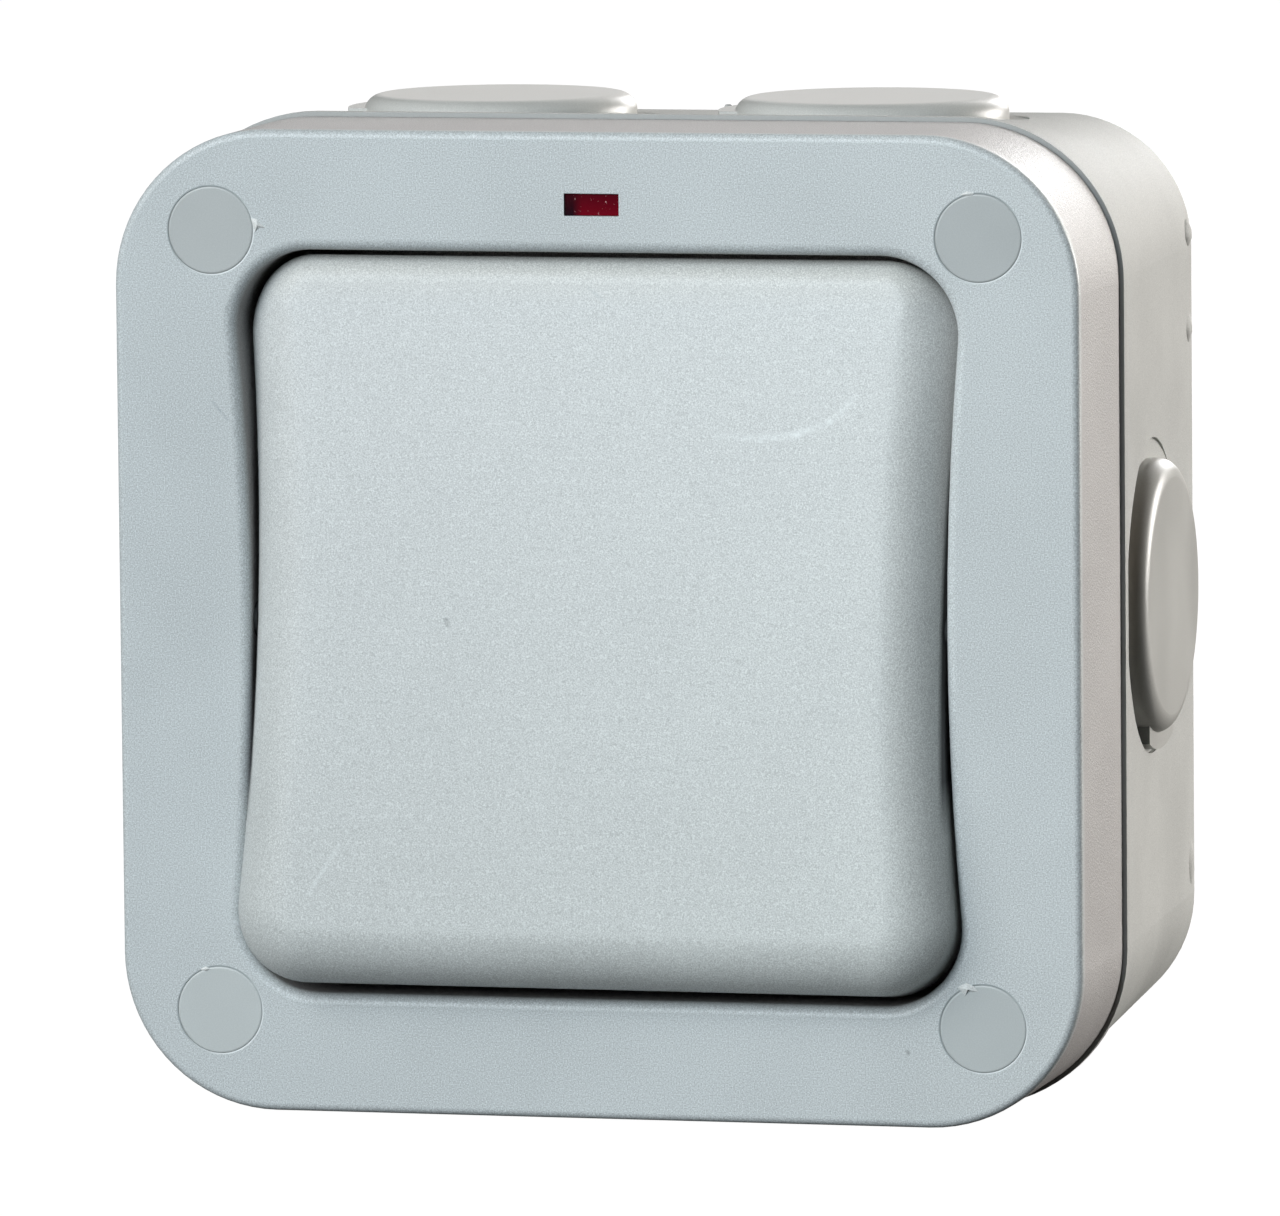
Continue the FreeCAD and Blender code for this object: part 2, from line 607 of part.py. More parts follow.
def build_back_box():
    """Drafted box with a proud rim, screw pillars, entry bosses and a gasket groove."""
    body = new_body("back_box")
    rim_back = "%s - rim_height" % BOX_FRONT
    front = new_sketch(body, "BoxFront", "XZ_Plane", rim_back)
    draw_rounded_square(front, "front", HALF_FACE + " - box_inset", "face_corner - box_inset")
    back = new_sketch(body, "BoxBack", "XZ_Plane", "0")
    draw_rounded_square(back, "back", HALF_FACE + " - rear_inset", "rear_corner")
    loft(body, "AdditiveLoft", front, back)

    rim = new_sketch(body, "BoxRim", "XZ_Plane", rim_back)
    draw_rounded_square(rim, "rim", HALF_FACE + " + rim_proud", "face_corner + rim_proud")
    pad(body, rim, "rim_height")

    mouth = new_sketch(body, "BoxMouth", "XZ_Plane", BOX_FRONT)
    draw_rounded_square(mouth, "mouth", HALF_FACE + " - rim_wall", "face_corner - rim_wall")
    floor = new_sketch(body, "BoxFloor", "XZ_Plane", "box_floor")
    draw_rounded_square(floor, "floor", HALF_FACE + " - rear_inset - box_wall", "rear_corner - box_wall")
    loft(body, "SubtractiveLoft", mouth, floor)

    pillars = new_sketch(body, "BoxPillars", "XZ_Plane", "box_floor / 2")
    for index, (x, z) in enumerate(corners_of("fixing_pitch", "fixing_pitch")):
        draw_circle(pillars, "pillar%d" % index, "pillar_radius", x, z)
    pad(body, pillars, "%s - box_floor / 2" % BOX_FRONT)

    bosses = new_sketch(body, "WallBosses", "XZ_Plane", "box_floor / 2")
    for index, (x, z) in enumerate(corners_of("wall_hole_pitch_x", "wall_hole_pitch_z")):
        draw_circle(bosses, "boss%d" % index, "wall_boss_radius", x, z)
    pad(body, bosses, "box_floor / 2 + wall_boss_height")

    pedestal = new_sketch(body, "EarthPedestal", "XZ_Plane", "box_floor / 2")
    half_seat = "(earth_width / 2 + earth_clip + strip_clearance)"
    low = "-earth_drop - earth_height / 2"
    high = "-earth_drop + earth_height / 2"
    draw_rectangle(pedestal, "seat", "-" + half_seat, half_seat, low, high)
    pad(body, pedestal, "box_floor / 2 + earth_pedestal + earth_depth / 2")
    clip_gap = new_sketch(body, "EarthSeat", "XZ_Plane", "box_floor + earth_pedestal + earth_depth")
    inside = "(earth_width / 2 + strip_clearance)"
    draw_rectangle(clip_gap, "gap", "-" + inside, inside, low + " - earth_clip", high + " + earth_clip")
    pocket(body, clip_gap, "earth_depth")

    for plane, name in (("YZ_Plane", "Side"), ("XY_Plane", "Top")):
        for side in ((1, -1) if name == "Side" else (1,)):
            build_entries(body, plane, "%sEntry%s" % (name, "Left" if side < 0 else ""), side)

    groove = new_sketch(body, "GasketGroove", "XZ_Plane", BOX_FRONT)
    inner = " - groove_inset - gasket_width"
    draw_rounded_square(groove, "outer", HALF_FACE + " - groove_inset", "face_corner - groove_inset")
    draw_rounded_square(groove, "inner", HALF_FACE + inner, "face_corner" + inner)
    pocket(body, groove, "groove_cut")

    inserts = new_sketch(body, "InsertHoles", "XZ_Plane", BOX_FRONT)
    tips = new_sketch(body, "TipHoles", "XZ_Plane", BOX_FRONT)
    for index, (x, z) in enumerate(corners_of("fixing_pitch", "fixing_pitch")):
        draw_circle(inserts, "insert%d" % index, "insert_radius", x, z)
        draw_circle(tips, "tip%d" % index, "screw_radius + screw_clearance", x, z)
    pocket(body, inserts, "insert_length")
    pocket(body, tips, "insert_length + screw_tail + tip_room")

    holes = new_sketch(body, "WallHoles", "XZ_Plane", "box_floor + wall_boss_height")
    for index, (x, z) in enumerate(corners_of("wall_hole_pitch_x", "wall_hole_pitch_z")):
        draw_circle(holes, "hole%d" % index, "wall_hole_radius", x, z)
    pocket(body, holes, "box_floor + wall_boss_height")

    ring = new_sketch(body, "RearEntryRing", "XZ_Plane", "0")
    draw_circle(ring, "outer", "rear_entry_radius")
    draw_circle(ring, "inner", "rear_entry_radius - rear_entry_line")
    pocket(body, ring, "rear_entry_cut", backwards=True)

    drain_floor = "%s - rear_inset - box_wall + drain_skin" % HALF_FACE
    drain = new_sketch(body, "Drain", "XY_Plane", "-(%s)" % drain_floor)
    draw_circle(drain, "drain", "drain_radius", "0", "-drain_setback")
    pocket(body, drain, "2 * box_wall")


def build_entries(body, plane, name, side):
    """Flat seat, inner boss and bore for the conduit entries on one side of the box."""
    on_top = plane == "XY_Plane"

    def draw(suffix, radius, height):
        sketch = new_sketch(body, name + suffix, plane, both(height, side))
        if on_top:
            draw_circle(sketch, "left", radius, "-entry_pitch / 2", "-" + ENTRY_HEIGHT)
            draw_circle(sketch, "right", radius, "entry_pitch / 2", "-" + ENTRY_HEIGHT)
        else:
            draw_circle(sketch, "hole", radius, "-" + ENTRY_HEIGHT, "0")
        return sketch

    boss = draw("Boss", "entry_flat_radius", "entry_inner")
    pad(body, boss, "entry_seat - entry_inner", backwards=side < 0)
    seat = draw("Seat", "entry_flat_radius", "entry_seat")
    pocket(body, seat, "box_wall", backwards=side > 0)
    bore = draw("Bore", "entry_radius", "entry_seat")
    pocket(body, bore, "2 * (entry_seat - entry_inner)", backwards=side < 0)


def build_front_cover():
    """Cover with the rocker well, screw pillars, bearings, mechanism bosses and lamp clips."""
    body = new_body("front_cover")
    shell = new_sketch(body, "CoverShell", "XZ_Plane", COVER_BACK)
    draw_rounded_square(shell, "shell", HALF_FACE, "face_corner")
    block_feature = pad(body, shell, "cover_depth")
    front = number("total_depth")
    round_edges(body, block_feature, "cover_edge", lambda edge: level(edge, front))

    hollow = new_sketch(body, "CoverHollow", "XZ_Plane", COVER_BACK)
    draw_rounded_square(hollow, "hollow", HALF_FACE + " - cover_wall", "face_corner - cover_wall")
    pocket(body, hollow, "cover_depth - cover_plate", backwards=True)

    collar = new_sketch(body, "WellCollar", "XZ_Plane", WELL_FLOOR_BACK)
    draw_waisted(collar, "collar", "well_waist + well_wall", "well_half_height + well_wall",
                 "well_corner + well_wall", "well_side_radius - well_wall")
    pad(body, collar, "well_depth + well_floor - cover_plate / 2")

    pillars = new_sketch(body, "CoverPillars", "XZ_Plane", COVER_BACK)
    for index, (x, z) in enumerate(corners_of("fixing_pitch", "fixing_pitch")):
        draw_circle(pillars, "pillar%d" % index, "pillar_radius", x, z)
    pad(body, pillars, "cover_depth - cover_plate / 2")

    bearings = new_sketch(body, "Bearings", "XZ_Plane", "total_depth - pivot_setback - bearing_height")
    inner = "(well_waist + well_wall / 2)"
    outer = "(well_waist + bearing_length)"
    half = "bearing_width / 2"
    draw_rectangle(bearings, "right", inner, outer, "-" + half, half)
    draw_rectangle(bearings, "left", "-" + outer, "-" + inner, "-" + half, half)
    pad(body, bearings, "bearing_height + pivot_setback - cover_plate / 2")

    clips = new_sketch(body, "LampClips", "XZ_Plane", "total_depth - clip_reach")
    inner = "(clip_spread - clip_width / 2)"
    outer = "(clip_spread + clip_width / 2)"
    low = "well_half_height + well_wall / 2"
    high = HALF_FACE + " - cover_wall / 2"
    draw_rectangle(clips, "right", inner, outer, low, high)
    draw_rectangle(clips, "left", "-" + outer, "-" + inner, low, high)
    pad(body, clips, "clip_reach - cover_plate / 2")

    bosses = new_sketch(body, "MechanismBosses", "XZ_Plane", WELL_FLOOR_BACK + " + well_floor / 2")
    draw_circle(bosses, "right", "lug_radius", "lug_pitch / 2")
    draw_circle(bosses, "left", "lug_radius", "-lug_pitch / 2")
    pad(body, bosses, "boss_height + well_floor / 2", backwards=True)

    well = new_sketch(body, "Well", "XZ_Plane", "total_depth")
    draw_waisted(well, "well", "well_waist", "well_half_height", "well_corner", "well_side_radius")
    opening = pocket(body, well, "well_depth")
    limit = number("fixing_pitch / 2")
    round_edges(body, opening, "well_edge", lambda edge: level(edge, front) and edge.BoundBox.XMax < limit
                and edge.BoundBox.XMin > -limit)

    window = new_sketch(body, "StemHole", "XZ_Plane", WELL_FLOOR_FRONT)
    draw_circle(window, "hole", "well_window_radius")
    pocket(body, window, "well_floor")

    pegs = new_sketch(body, "BootPegs", "XZ_Plane", WELL_FLOOR_FRONT + " - well_floor / 2")
    for index, (x, z) in enumerate(corners_of("peg_pitch", "peg_pitch")):
        draw_circle(pegs, "peg%d" % index, "peg_radius", x, z)
    pad(body, pegs, "well_floor / 2 + boot_flange + ring_height + peg_stand")

    bores = new_sketch(body, "BearingBores", "YZ_Plane", "well_waist + bearing_bore")
    draw_circle(bores, "bore", "trunnion_radius + running_clearance", "-(total_depth - pivot_setback)")
    pocket(body, bores, "2 * (well_waist + bearing_bore)")

    seats = new_sketch(body, "LampSeats", "YZ_Plane", "clip_spread + clip_width")
    draw_circle(seats, "seat", "lamp_radius + lens_clearance", "-(total_depth - lamp_setback)", "lamp_rise")
    pocket(body, seats, "2 * (clip_spread + clip_width)")

    pilots = new_sketch(body, "MechanismPilots", "XZ_Plane", WELL_FLOOR_BACK + " - boss_height")
    draw_circle(pilots, "right", "mech_screw_radius", "lug_pitch / 2")
    draw_circle(pilots, "left", "mech_screw_radius", "-lug_pitch / 2")
    pocket(body, pilots, "boss_height", backwards=True)

    for name, radius, depth in (("CapSeats", "cap_radius + cap_clearance", "cap_height"),
                                ("HeadBores", "head_radius + head_clearance", "head_seat"),
                                ("ShankHoles", "screw_radius + screw_clearance", "cover_depth")):
        sketch = new_sketch(body, name, "XZ_Plane", "total_depth")
        for index, (x, z) in enumerate(corners_of("fixing_pitch", "fixing_pitch")):
            draw_circle(sketch, "hole%d" % index, radius, x, z)
        pocket(body, sketch, depth)

    pane = new_sketch(body, "IndicatorWindow", "XZ_Plane", "total_depth")
    half = "window_width / 2"
    low = "window_rise - window_height / 2"
    high = "window_rise + window_height / 2"
    draw_rectangle(pane, "pane", "-" + half, half, low, high)
    pocket(body, pane, "cover_plate")


def turn_about(body, setback, axis, angle):
    """Put a body's origin on its own pivot and turn it to its place at rest."""
    body.Placement = Placement(Vector(0, 0, 0), Rotation(axis, number(angle)))
    bind(body, "Placement.Base.y", "-(total_depth - %s)" % setback)
    bind(body, "Placement.Rotation.Angle", angle)


def add_pins(body, name, radius, start, length):
    """Round pins that stand out along X on both sides of a body."""
    for side in (1, -1):
        pins = new_sketch(body, name + ("Right" if side > 0 else "Left"), "YZ_Plane", both(start, side))
        draw_circle(pins, "pin", radius)
        pad(body, pins, length, backwards=side < 0)


def build_rocker():
    """Waisted hollow rocker with ribs, side pins and a forked stem, turned to its rest."""
    body = new_body("rocker")
    rocker_front = "(rocker_proud + pivot_setback)"
    skirt_end = rocker_front + " - rocker_depth"
    waist = "well_waist - rocker_side_gap"
    half_height = "well_half_height - rocker_end_gap"
    outline = new_sketch(body, "RockerOutline", "XZ_Plane", skirt_end)
    draw_waisted(outline, "outline", waist, half_height, "rocker_corner",
                 "well_side_radius + rocker_side_gap")
    solid = pad(body, outline, "rocker_depth")
    front = number(rocker_front)
    round_edges(body, solid, "rocker_edge", lambda edge: level(edge, front))

    hollow = new_sketch(body, "RockerHollow", "XZ_Plane", skirt_end)
    draw_waisted(hollow, "hollow", waist + " - rocker_wall", half_height + " - rocker_wall",
                 "rocker_corner - rocker_wall", "well_side_radius + rocker_side_gap + rocker_wall")
    pocket(body, hollow, "rocker_depth - rocker_plate", backwards=True)

    to_plate = rocker_front + " - rocker_plate / 2"
    upright = new_sketch(body, "UprightRibs", "XZ_Plane", "-rib_reach")
    reach = "(%s - rocker_wall / 2)" % half_height
    for name, sign in (("right", ""), ("left", "-")):
        middle = sign + "rib_spread_x"
        low, high = middle + " - rib_width / 2", middle + " + rib_width / 2"
        draw_rectangle(upright, name, low, high, "-" + reach, reach)
    pad(body, upright, "rib_reach + " + to_plate)
    across = new_sketch(body, "LevelRibs", "XZ_Plane", "-rib_reach")
    reach = "(%s - rocker_wall / 2)" % waist
    for name, sign in (("upper", ""), ("lower", "-")):
        middle = sign + "rib_spread_z"
        low, high = middle + " - rib_width / 2", middle + " + rib_width / 2"
        draw_rectangle(across, name, "-" + reach, reach, low, high)
    pad(body, across, "rib_reach + " + to_plate)

    stem = new_sketch(body, "Stem", "XZ_Plane", "-stem_reach")
    draw_circle(stem, "stem", "stem_radius")
    pad(body, stem, "stem_reach + " + to_plate)
    fork = new_sketch(body, "Fork", "XZ_Plane", "-stem_reach")
    half = "(nose_radius + fork_clearance)"
    draw_rectangle(fork, "fork", "-stem_radius - fork_clearance", "stem_radius + fork_clearance",
                   "-" + half, half)
    pocket(body, fork, "fork_cut", backwards=True)

    start = "(%s - rocker_wall / 2)" % waist
    add_pins(body, "RockerPin", "trunnion_radius", start, "trunnion_length + rocker_wall / 2")
    turn_about(body, "pivot_setback", Vector(-1, 0, 0), "rocker_tilt")


def build_boot():
    """Rubber boot round the stem, held by a ring on four pegs, and the ring."""
    body = new_body("rocker_boot")
    floor = WELL_FLOOR_FRONT
    fold = "(%s + boot_fold_height)" % floor
    top = "(total_depth - boot_top_setback)"
    profile = new_sketch(body, "BootProfile", "XY_Plane", "0")
    draw_polygon(profile, "corner", [
        ("boot_flange_radius", "-" + floor),
        ("boot_flange_radius", "-(%s + boot_flange)" % floor),
        ("boot_foot_radius", "-(%s + boot_flange)" % floor),
        ("boot_fold_radius", "-" + fold),
        ("boot_top_radius", "-(%s - boot_collar)" % top),
        ("boot_top_radius", "-" + top),
        ("boot_bore", "-" + top),
        ("boot_bore", "-(%s - boot_collar)" % top),
        ("boot_fold_radius - boot_wall", "-(%s - boot_wall / 2)" % fold),
        ("boot_foot_radius - boot_wall", "-" + floor)])
    revolve(body, profile)
    holes = new_sketch(body, "BootPegHoles", "XZ_Plane", floor + " + boot_flange")
    ring_body = new_body("boot_retainer")
    ring = new_sketch(ring_body, "Ring", "XZ_Plane", floor + " + boot_flange")
    draw_circle(ring, "outer", "boot_flange_radius")
    draw_circle(ring, "inner", "ring_inner_radius")
    for index, (x, z) in enumerate(corners_of("peg_pitch", "peg_pitch")):
        draw_circle(holes, "hole%d" % index, "peg_radius + running_clearance", x, z)
        draw_circle(ring, "hole%d" % index, "peg_radius + running_clearance", x, z)
    pocket(body, holes, "boot_flange")
    pad(ring_body, ring, "ring_height")


def build_gasket():
    """Rubber ring that fills its groove and the gap up to the cover."""
    body = new_body("cover_gasket")
    ring = new_sketch(body, "GasketRing", "XZ_Plane", BOX_FRONT + " - groove_cut")
    inner = " - groove_inset - gasket_width"
    draw_rounded_square(ring, "outer", HALF_FACE + " - groove_inset", "face_corner - groove_inset")
    draw_rounded_square(ring, "inner", HALF_FACE + inner, "face_corner" + inner)
    pad(body, ring, "groove_cut + joint_gap")


def cross_recess(name, x, z, flat, inward):
    """Two crossing slots from a screw head's flat end, at the height given, into the head."""
    start = "-(%s)" % flat
    end = "%s %s slot_cut" % (start, "+" if inward < 0 else "-")
    depth = (start, end) if inward < 0 else (end, start)
    long_x = ("%s - slot_length / 2" % x, "%s + slot_length / 2" % x)
    long_z = ("%s - slot_length / 2" % z, "%s + slot_length / 2" % z)
    thin_x = ("%s - slot_width / 2" % x, "%s + slot_width / 2" % x)
    thin_z = ("%s - slot_width / 2" % z, "%s + slot_width / 2" % z)
    return [block(name + "Level", long_x, depth, thin_z), block(name + "Upright", thin_x, depth, long_z)]


def build_cover_screws():
    """Four cover screws and the brass inserts they run into."""
    tail = "(%s - insert_length - screw_tail)" % BOX_FRONT
    seat = "(total_depth - head_seat)"
    screws, inserts, bores = [], [], []
    for index, (x, z) in enumerate(corners_of("fixing_pitch", "fixing_pitch")):
        name = "CoverScrew%d" % index
        head = rod(name + "Head", "head_radius", "head_height", x, "-" + seat, z, TO_THE_USER)
        shank = rod(name + "Shank", "screw_radius", seat + " - " + tail, x, "-" + tail, z, TO_THE_USER)
        recess = cross_recess(name + "Slot", x, z, seat + " + head_height", -1)
        screws.append(cut(name, fuse(name + "Blank", [head, shank]), recess))
        bottom = "-(%s - insert_length)" % BOX_FRONT
        place = (x, bottom, z, TO_THE_USER)
        inserts.append(rod("Insert%d" % index, "insert_radius", "insert_length", *place))
        bores.append(rod("InsertBore%d" % index, "screw_radius", "insert_length", *place))
    finish(gather("CoverScrews", screws), "cover_screws")
    finish(cut("ScrewInserts", gather("InsertBlanks", inserts), bores), "screw_inserts")


def build_caps():
    """Round caps that close the screw holes."""
    front = number("total_depth")
    labels = ("cap_top_left", "cap_top_right", "cap_bottom_left", "cap_bottom_right")
    for label, (x, z) in zip(labels, corners_of("fixing_pitch", "fixing_pitch")):
        body = new_body(label)
        disc = new_sketch(body, "Disc_" + label, "XZ_Plane", "total_depth - cap_height")
        draw_circle(disc, "cap", "cap_radius", x, z)
        solid = pad(body, disc, "cap_height")
        round_edges(body, solid, "cap_edge", lambda edge: level(edge, front))


def build_plugs():
    """Entry plugs, each drawn upright on its own seat and turned to its side of the box."""
    half_pitch = "entry_pitch / 2"
    depth = "-" + ENTRY_HEIGHT
    to_left = Rotation(Vector(0, 1, 0), -90)
    to_right = Rotation(Vector(1, 0, 1), 180)
    build_plug("plug_top_left", "-" + half_pitch, depth, "entry_seat", UPWARDS)
    build_plug("plug_top_right", half_pitch, depth, "entry_seat", UPWARDS)
    build_plug("plug_left", "-entry_seat", depth, "0", to_left)
    build_plug("plug_right", "entry_seat", depth, "0", to_right)


def build_plug(label, x, y, z, rotation):
    body = new_body(label)
    profile = new_sketch(body, "Profile_" + label, "XZ_Plane", "0")
    bead_middle = "-plug_bead_setback - plug_bead_length / 2"
    draw_polygon(profile, "corner", [
        ("0", "plug_head"),
        ("plug_radius", "plug_head"),
        ("plug_radius", "0"),
        ("plug_shank_radius", "0"),
        ("plug_shank_radius", "-plug_bead_setback"),
        ("plug_bead_radius", bead_middle),
        ("plug_shank_radius", "-plug_bead_setback - plug_bead_length"),
        ("plug_shank_radius", "-plug_shank_length"),
        ("plug_shank_radius - plug_wall", "-plug_shank_length"),
        ("plug_shank_radius - plug_wall", "plug_crown"),
        ("0", "plug_crown")])
    turned = revolve(body, profile)
    rim = number("plug_head")
    round_edges(body, turned, "plug_edge", lambda edge: abs(edge.BoundBox.ZMin - rim) < 0.01)
    tab = new_sketch(body, "Tab_" + label, "XY_Plane", "0")
    draw_tab(tab, "lug_tab_radius", "lug_tab_width / 2", "plug_radius / 2 + plug_shank_radius / 2")
    pad(body, tab, "lug_tab_height")
    set_place(body, x, y, z, rotation)


def draw_tab(sketch, radius, half_width, inner):
    """Piece of a disc on the left of the origin, between two level lines."""
    r, half, near = number(radius), number(half_width), number(inner)
    far = math.sqrt(r * r - half * half)
    lean = math.asin(half / r)
    circle = Part.Circle(Vector(0, 0, 0), Vector(0, 0, 1), r)
    sketch.addGeometry(Part.ArcOfCircle(circle, math.pi - lean, math.pi + lean))
    sketch.addGeometry(Part.LineSegment(Vector(-far, -half, 0), Vector(-near, -half, 0)))
    sketch.addGeometry(Part.LineSegment(Vector(-near, -half, 0), Vector(-near, half, 0)))
    sketch.addGeometry(Part.LineSegment(Vector(-near, half, 0), Vector(-far, half, 0)))
    for index in range(4):
        sketch.addConstraint(Sketcher.Constraint("Coincident", index, 2, (index + 1) % 4, 1))
    sketch.addConstraint(Sketcher.Constraint("Coincident", 0, 3, -1, 1))
    sketch.addConstraint(Sketcher.Constraint("Horizontal", 1))
    sketch.addConstraint(Sketcher.Constraint("Vertical", 2))
    sketch.addConstraint(Sketcher.Constraint("Horizontal", 3))
    constrain(sketch, "Radius", "tab_radius", radius, 0)
    place_point(sketch, "tab_top", 2, 2, "-(%s)" % inner, half_width)
    constrain(sketch, "DistanceY", "tab_bottom", "-(%s)" % half_width, -1, 1, 2, 1)


def build_indicator():
    """Lens in the small window and the lamp behind it."""
    back = "(total_depth - cover_plate - lens_lip)"
    seat = "(total_depth - cover_plate)"
    front = "(total_depth - lens_recess)"
    half_x, half_z = "(window_width / 2 - lens_clearance)", "(window_height / 2 - lens_clearance)"
    pane = block("LensPane", ("-" + half_x, half_x), ("-" + front, "-" + back),
                 ("window_rise - " + half_z, "window_rise + " + half_z))
    lip = block("LensLip", ("-(%s + lens_lip)" % half_x, half_x + " + lens_lip"), ("-" + seat, "-" + back),
                ("window_rise - %s - lens_lip" % half_z, "window_rise + %s + lens_lip" % half_z))
    finish(fuse("IndicatorLens", [pane, lip]), "indicator_lens")
    depth = "-(total_depth - lamp_setback)"
    glass = rod("LampGlass", "lamp_radius", "lamp_length", "-lamp_length / 2", depth, "lamp_rise",
                TO_THE_RIGHT)
    tip = doc.addObject("Part::Sphere", "LampTip")
    set_place(tip, "lamp_length / 2", depth, "lamp_rise", UPWARDS)
    bind(tip, "Radius", "lamp_radius")
    finish(fuse("NeonLamp", [glass, tip]), "neon_lamp")


MECH_FRONT = "(%s - mech_gap)" % WELL_FLOOR_BACK
MECH_BACK = "(%s - mech_depth)" % MECH_FRONT
MECH_INSIDE = "(%s + mech_floor)" % MECH_BACK
LUG_FRONT = "(%s - boss_height)" % WELL_FLOOR_BACK
LUG_BACK = "(%s - lug_height)" % LUG_FRONT
TERMINAL_PLACES = (("terminal_top", "terminal_pitch"), ("terminal_bottom", "-terminal_pitch"))


def build_mechanism_housing():
    """Open fronted housing of the switch, with fixing lugs and ribs between its terminals."""
    body = new_body("mechanism_housing")
    shell = new_sketch(body, "Housing", "XZ_Plane", MECH_BACK)
    half_x, half_z = "mech_width / 2", "mech_height / 2"
    draw_rectangle(shell, "shell", "-" + half_x, half_x, "-" + half_z, half_z)
    pad(body, shell, "mech_depth")

    lugs = new_sketch(body, "Lugs", "XZ_Plane", LUG_BACK)
    inner = "(mech_width / 2 - mech_wall / 2)"
    outer = "(lug_pitch / 2 + lug_radius)"
    draw_rectangle(lugs, "right", inner, outer, "-lug_radius", "lug_radius")
    draw_rectangle(lugs, "left", "-" + outer, "-" + inner, "-lug_radius", "lug_radius")
    pad(body, lugs, "lug_height")

    hollow = new_sketch(body, "HousingHollow", "XZ_Plane", MECH_FRONT)
    inside_x, inside_z = "(mech_width / 2 - mech_wall)", "(mech_height / 2 - mech_wall)"
    draw_rectangle(hollow, "hollow", "-" + inside_x, inside_x, "-" + inside_z, inside_z)
    pocket(body, hollow, "mech_depth - mech_floor")

    dividers = new_sketch(body, "Dividers", "XZ_Plane", MECH_BACK + " + mech_floor / 2")
    for step in (-3, -1, 1, 3):
        middle = "%d * terminal_pitch / 2" % step
        low, high = middle + " - divider_width / 2", middle + " + divider_width / 2"
        draw_rectangle(dividers, "rib%d" % (step + 3), "-divider_length / 2", "divider_length / 2",
                       low, high)
    pad(body, dividers, "divider_reach + mech_floor / 2", backwards=True)

    slots = new_sketch(body, "StripSlots", "XZ_Plane", MECH_INSIDE)
    across = "(strip_width / 2 + strip_clearance)"
    up = "(brass_thick / 2 + strip_clearance)"
    for step in (-1, 0, 1):
        middle = "%d * terminal_pitch" % step
        low, high = "%s - %s" % (middle, up), "%s + %s" % (middle, up)
        draw_rectangle(slots, "slot%d" % (step + 1), "-" + across, across, low, high)
    pocket(body, slots, "mech_floor")

    holes = new_sketch(body, "LugHoles", "XZ_Plane", LUG_FRONT)
    draw_circle(holes, "right", "mech_screw_radius + screw_clearance", "lug_pitch / 2")
    draw_circle(holes, "left", "mech_screw_radius + screw_clearance", "-lug_pitch / 2")
    pocket(body, holes, "lug_height")

    reach = "(mech_width / 2 - mech_wall + dolly_pin_grip + dolly_pin_spare)"
    bores = new_sketch(body, "DollyBores", "YZ_Plane", reach)
    draw_circle(bores, "bore", "dolly_pin_radius + running_clearance", "-(total_depth - dolly_setback)")
    pocket(body, bores, "2 * " + reach)


def build_dolly():
    """Toggle piece the rocker's stem works, with the sprung plunger inside it."""
    body = new_body("dolly")
    block_sketch = new_sketch(body, "DollyBlock", "XZ_Plane", "-dolly_back")
    draw_rectangle(block_sketch, "block", "-dolly_width / 2", "dolly_width / 2",
                   "-dolly_height / 2", "dolly_height / 2")
    pad(body, block_sketch, "dolly_back + dolly_front")
    neck = new_sketch(body, "NoseNeck", "XZ_Plane", "dolly_front / 2")
    draw_rectangle(neck, "neck", "-nose_width / 2", "nose_width / 2", "-nose_neck / 2", "nose_neck / 2")
    pad(body, neck, "nose_reach - dolly_front / 2")
    tip = new_sketch(body, "NoseTip", "YZ_Plane", "-nose_width / 2")
    draw_circle(tip, "tip", "nose_radius", "-nose_reach")
    pad(body, tip, "nose_width")
    start = "dolly_width / 4"
    reach = "mech_width / 2 - mech_wall + dolly_pin_grip"
    add_pins(body, "DollyPin", "dolly_pin_radius", start, "%s - %s" % (reach, start))
    barrel = new_sketch(body, "Barrel", "XZ_Plane", "-dolly_back")
    draw_circle(barrel, "barrel", "barrel_radius")
    pocket(body, barrel, "dolly_back - barrel_end", backwards=True)

    spring = new_body("dolly_spring")
    wire = new_sketch(spring, "SpringWire", "XY_Plane", "0")
    draw_circle(wire, "wire", "spring_wire", "spring_radius", "barrel_end + spring_wire")
    coil = spring.newObject("PartDesign::AdditiveHelix", "SpringCoil")
    coil.Profile = wire
    coil.ReferenceAxis = (wire, ["V_Axis"])
    coil.Mode = "height-turns-angle"
    bind(coil, "Height", "plunger_start - barrel_end - 2 * spring_wire")
    bind(coil, "Turns", "spring_turns")

    plunger = new_body("dolly_plunger")
    ball = "(plunger_tip - plunger_tip_radius)"
    profile = new_sketch(plunger, "PlungerProfile", "XY_Plane", "0")
    draw_rounded_tip(profile, "plunger_radius", "plunger_start", "plunger_shoulder",
                     "plunger_tip_radius", ball)
    revolve(plunger, profile)
    for piece in (body, spring, plunger):
        turn_about(piece, "dolly_setback", Vector(1, 0, 0), "dolly_turn")


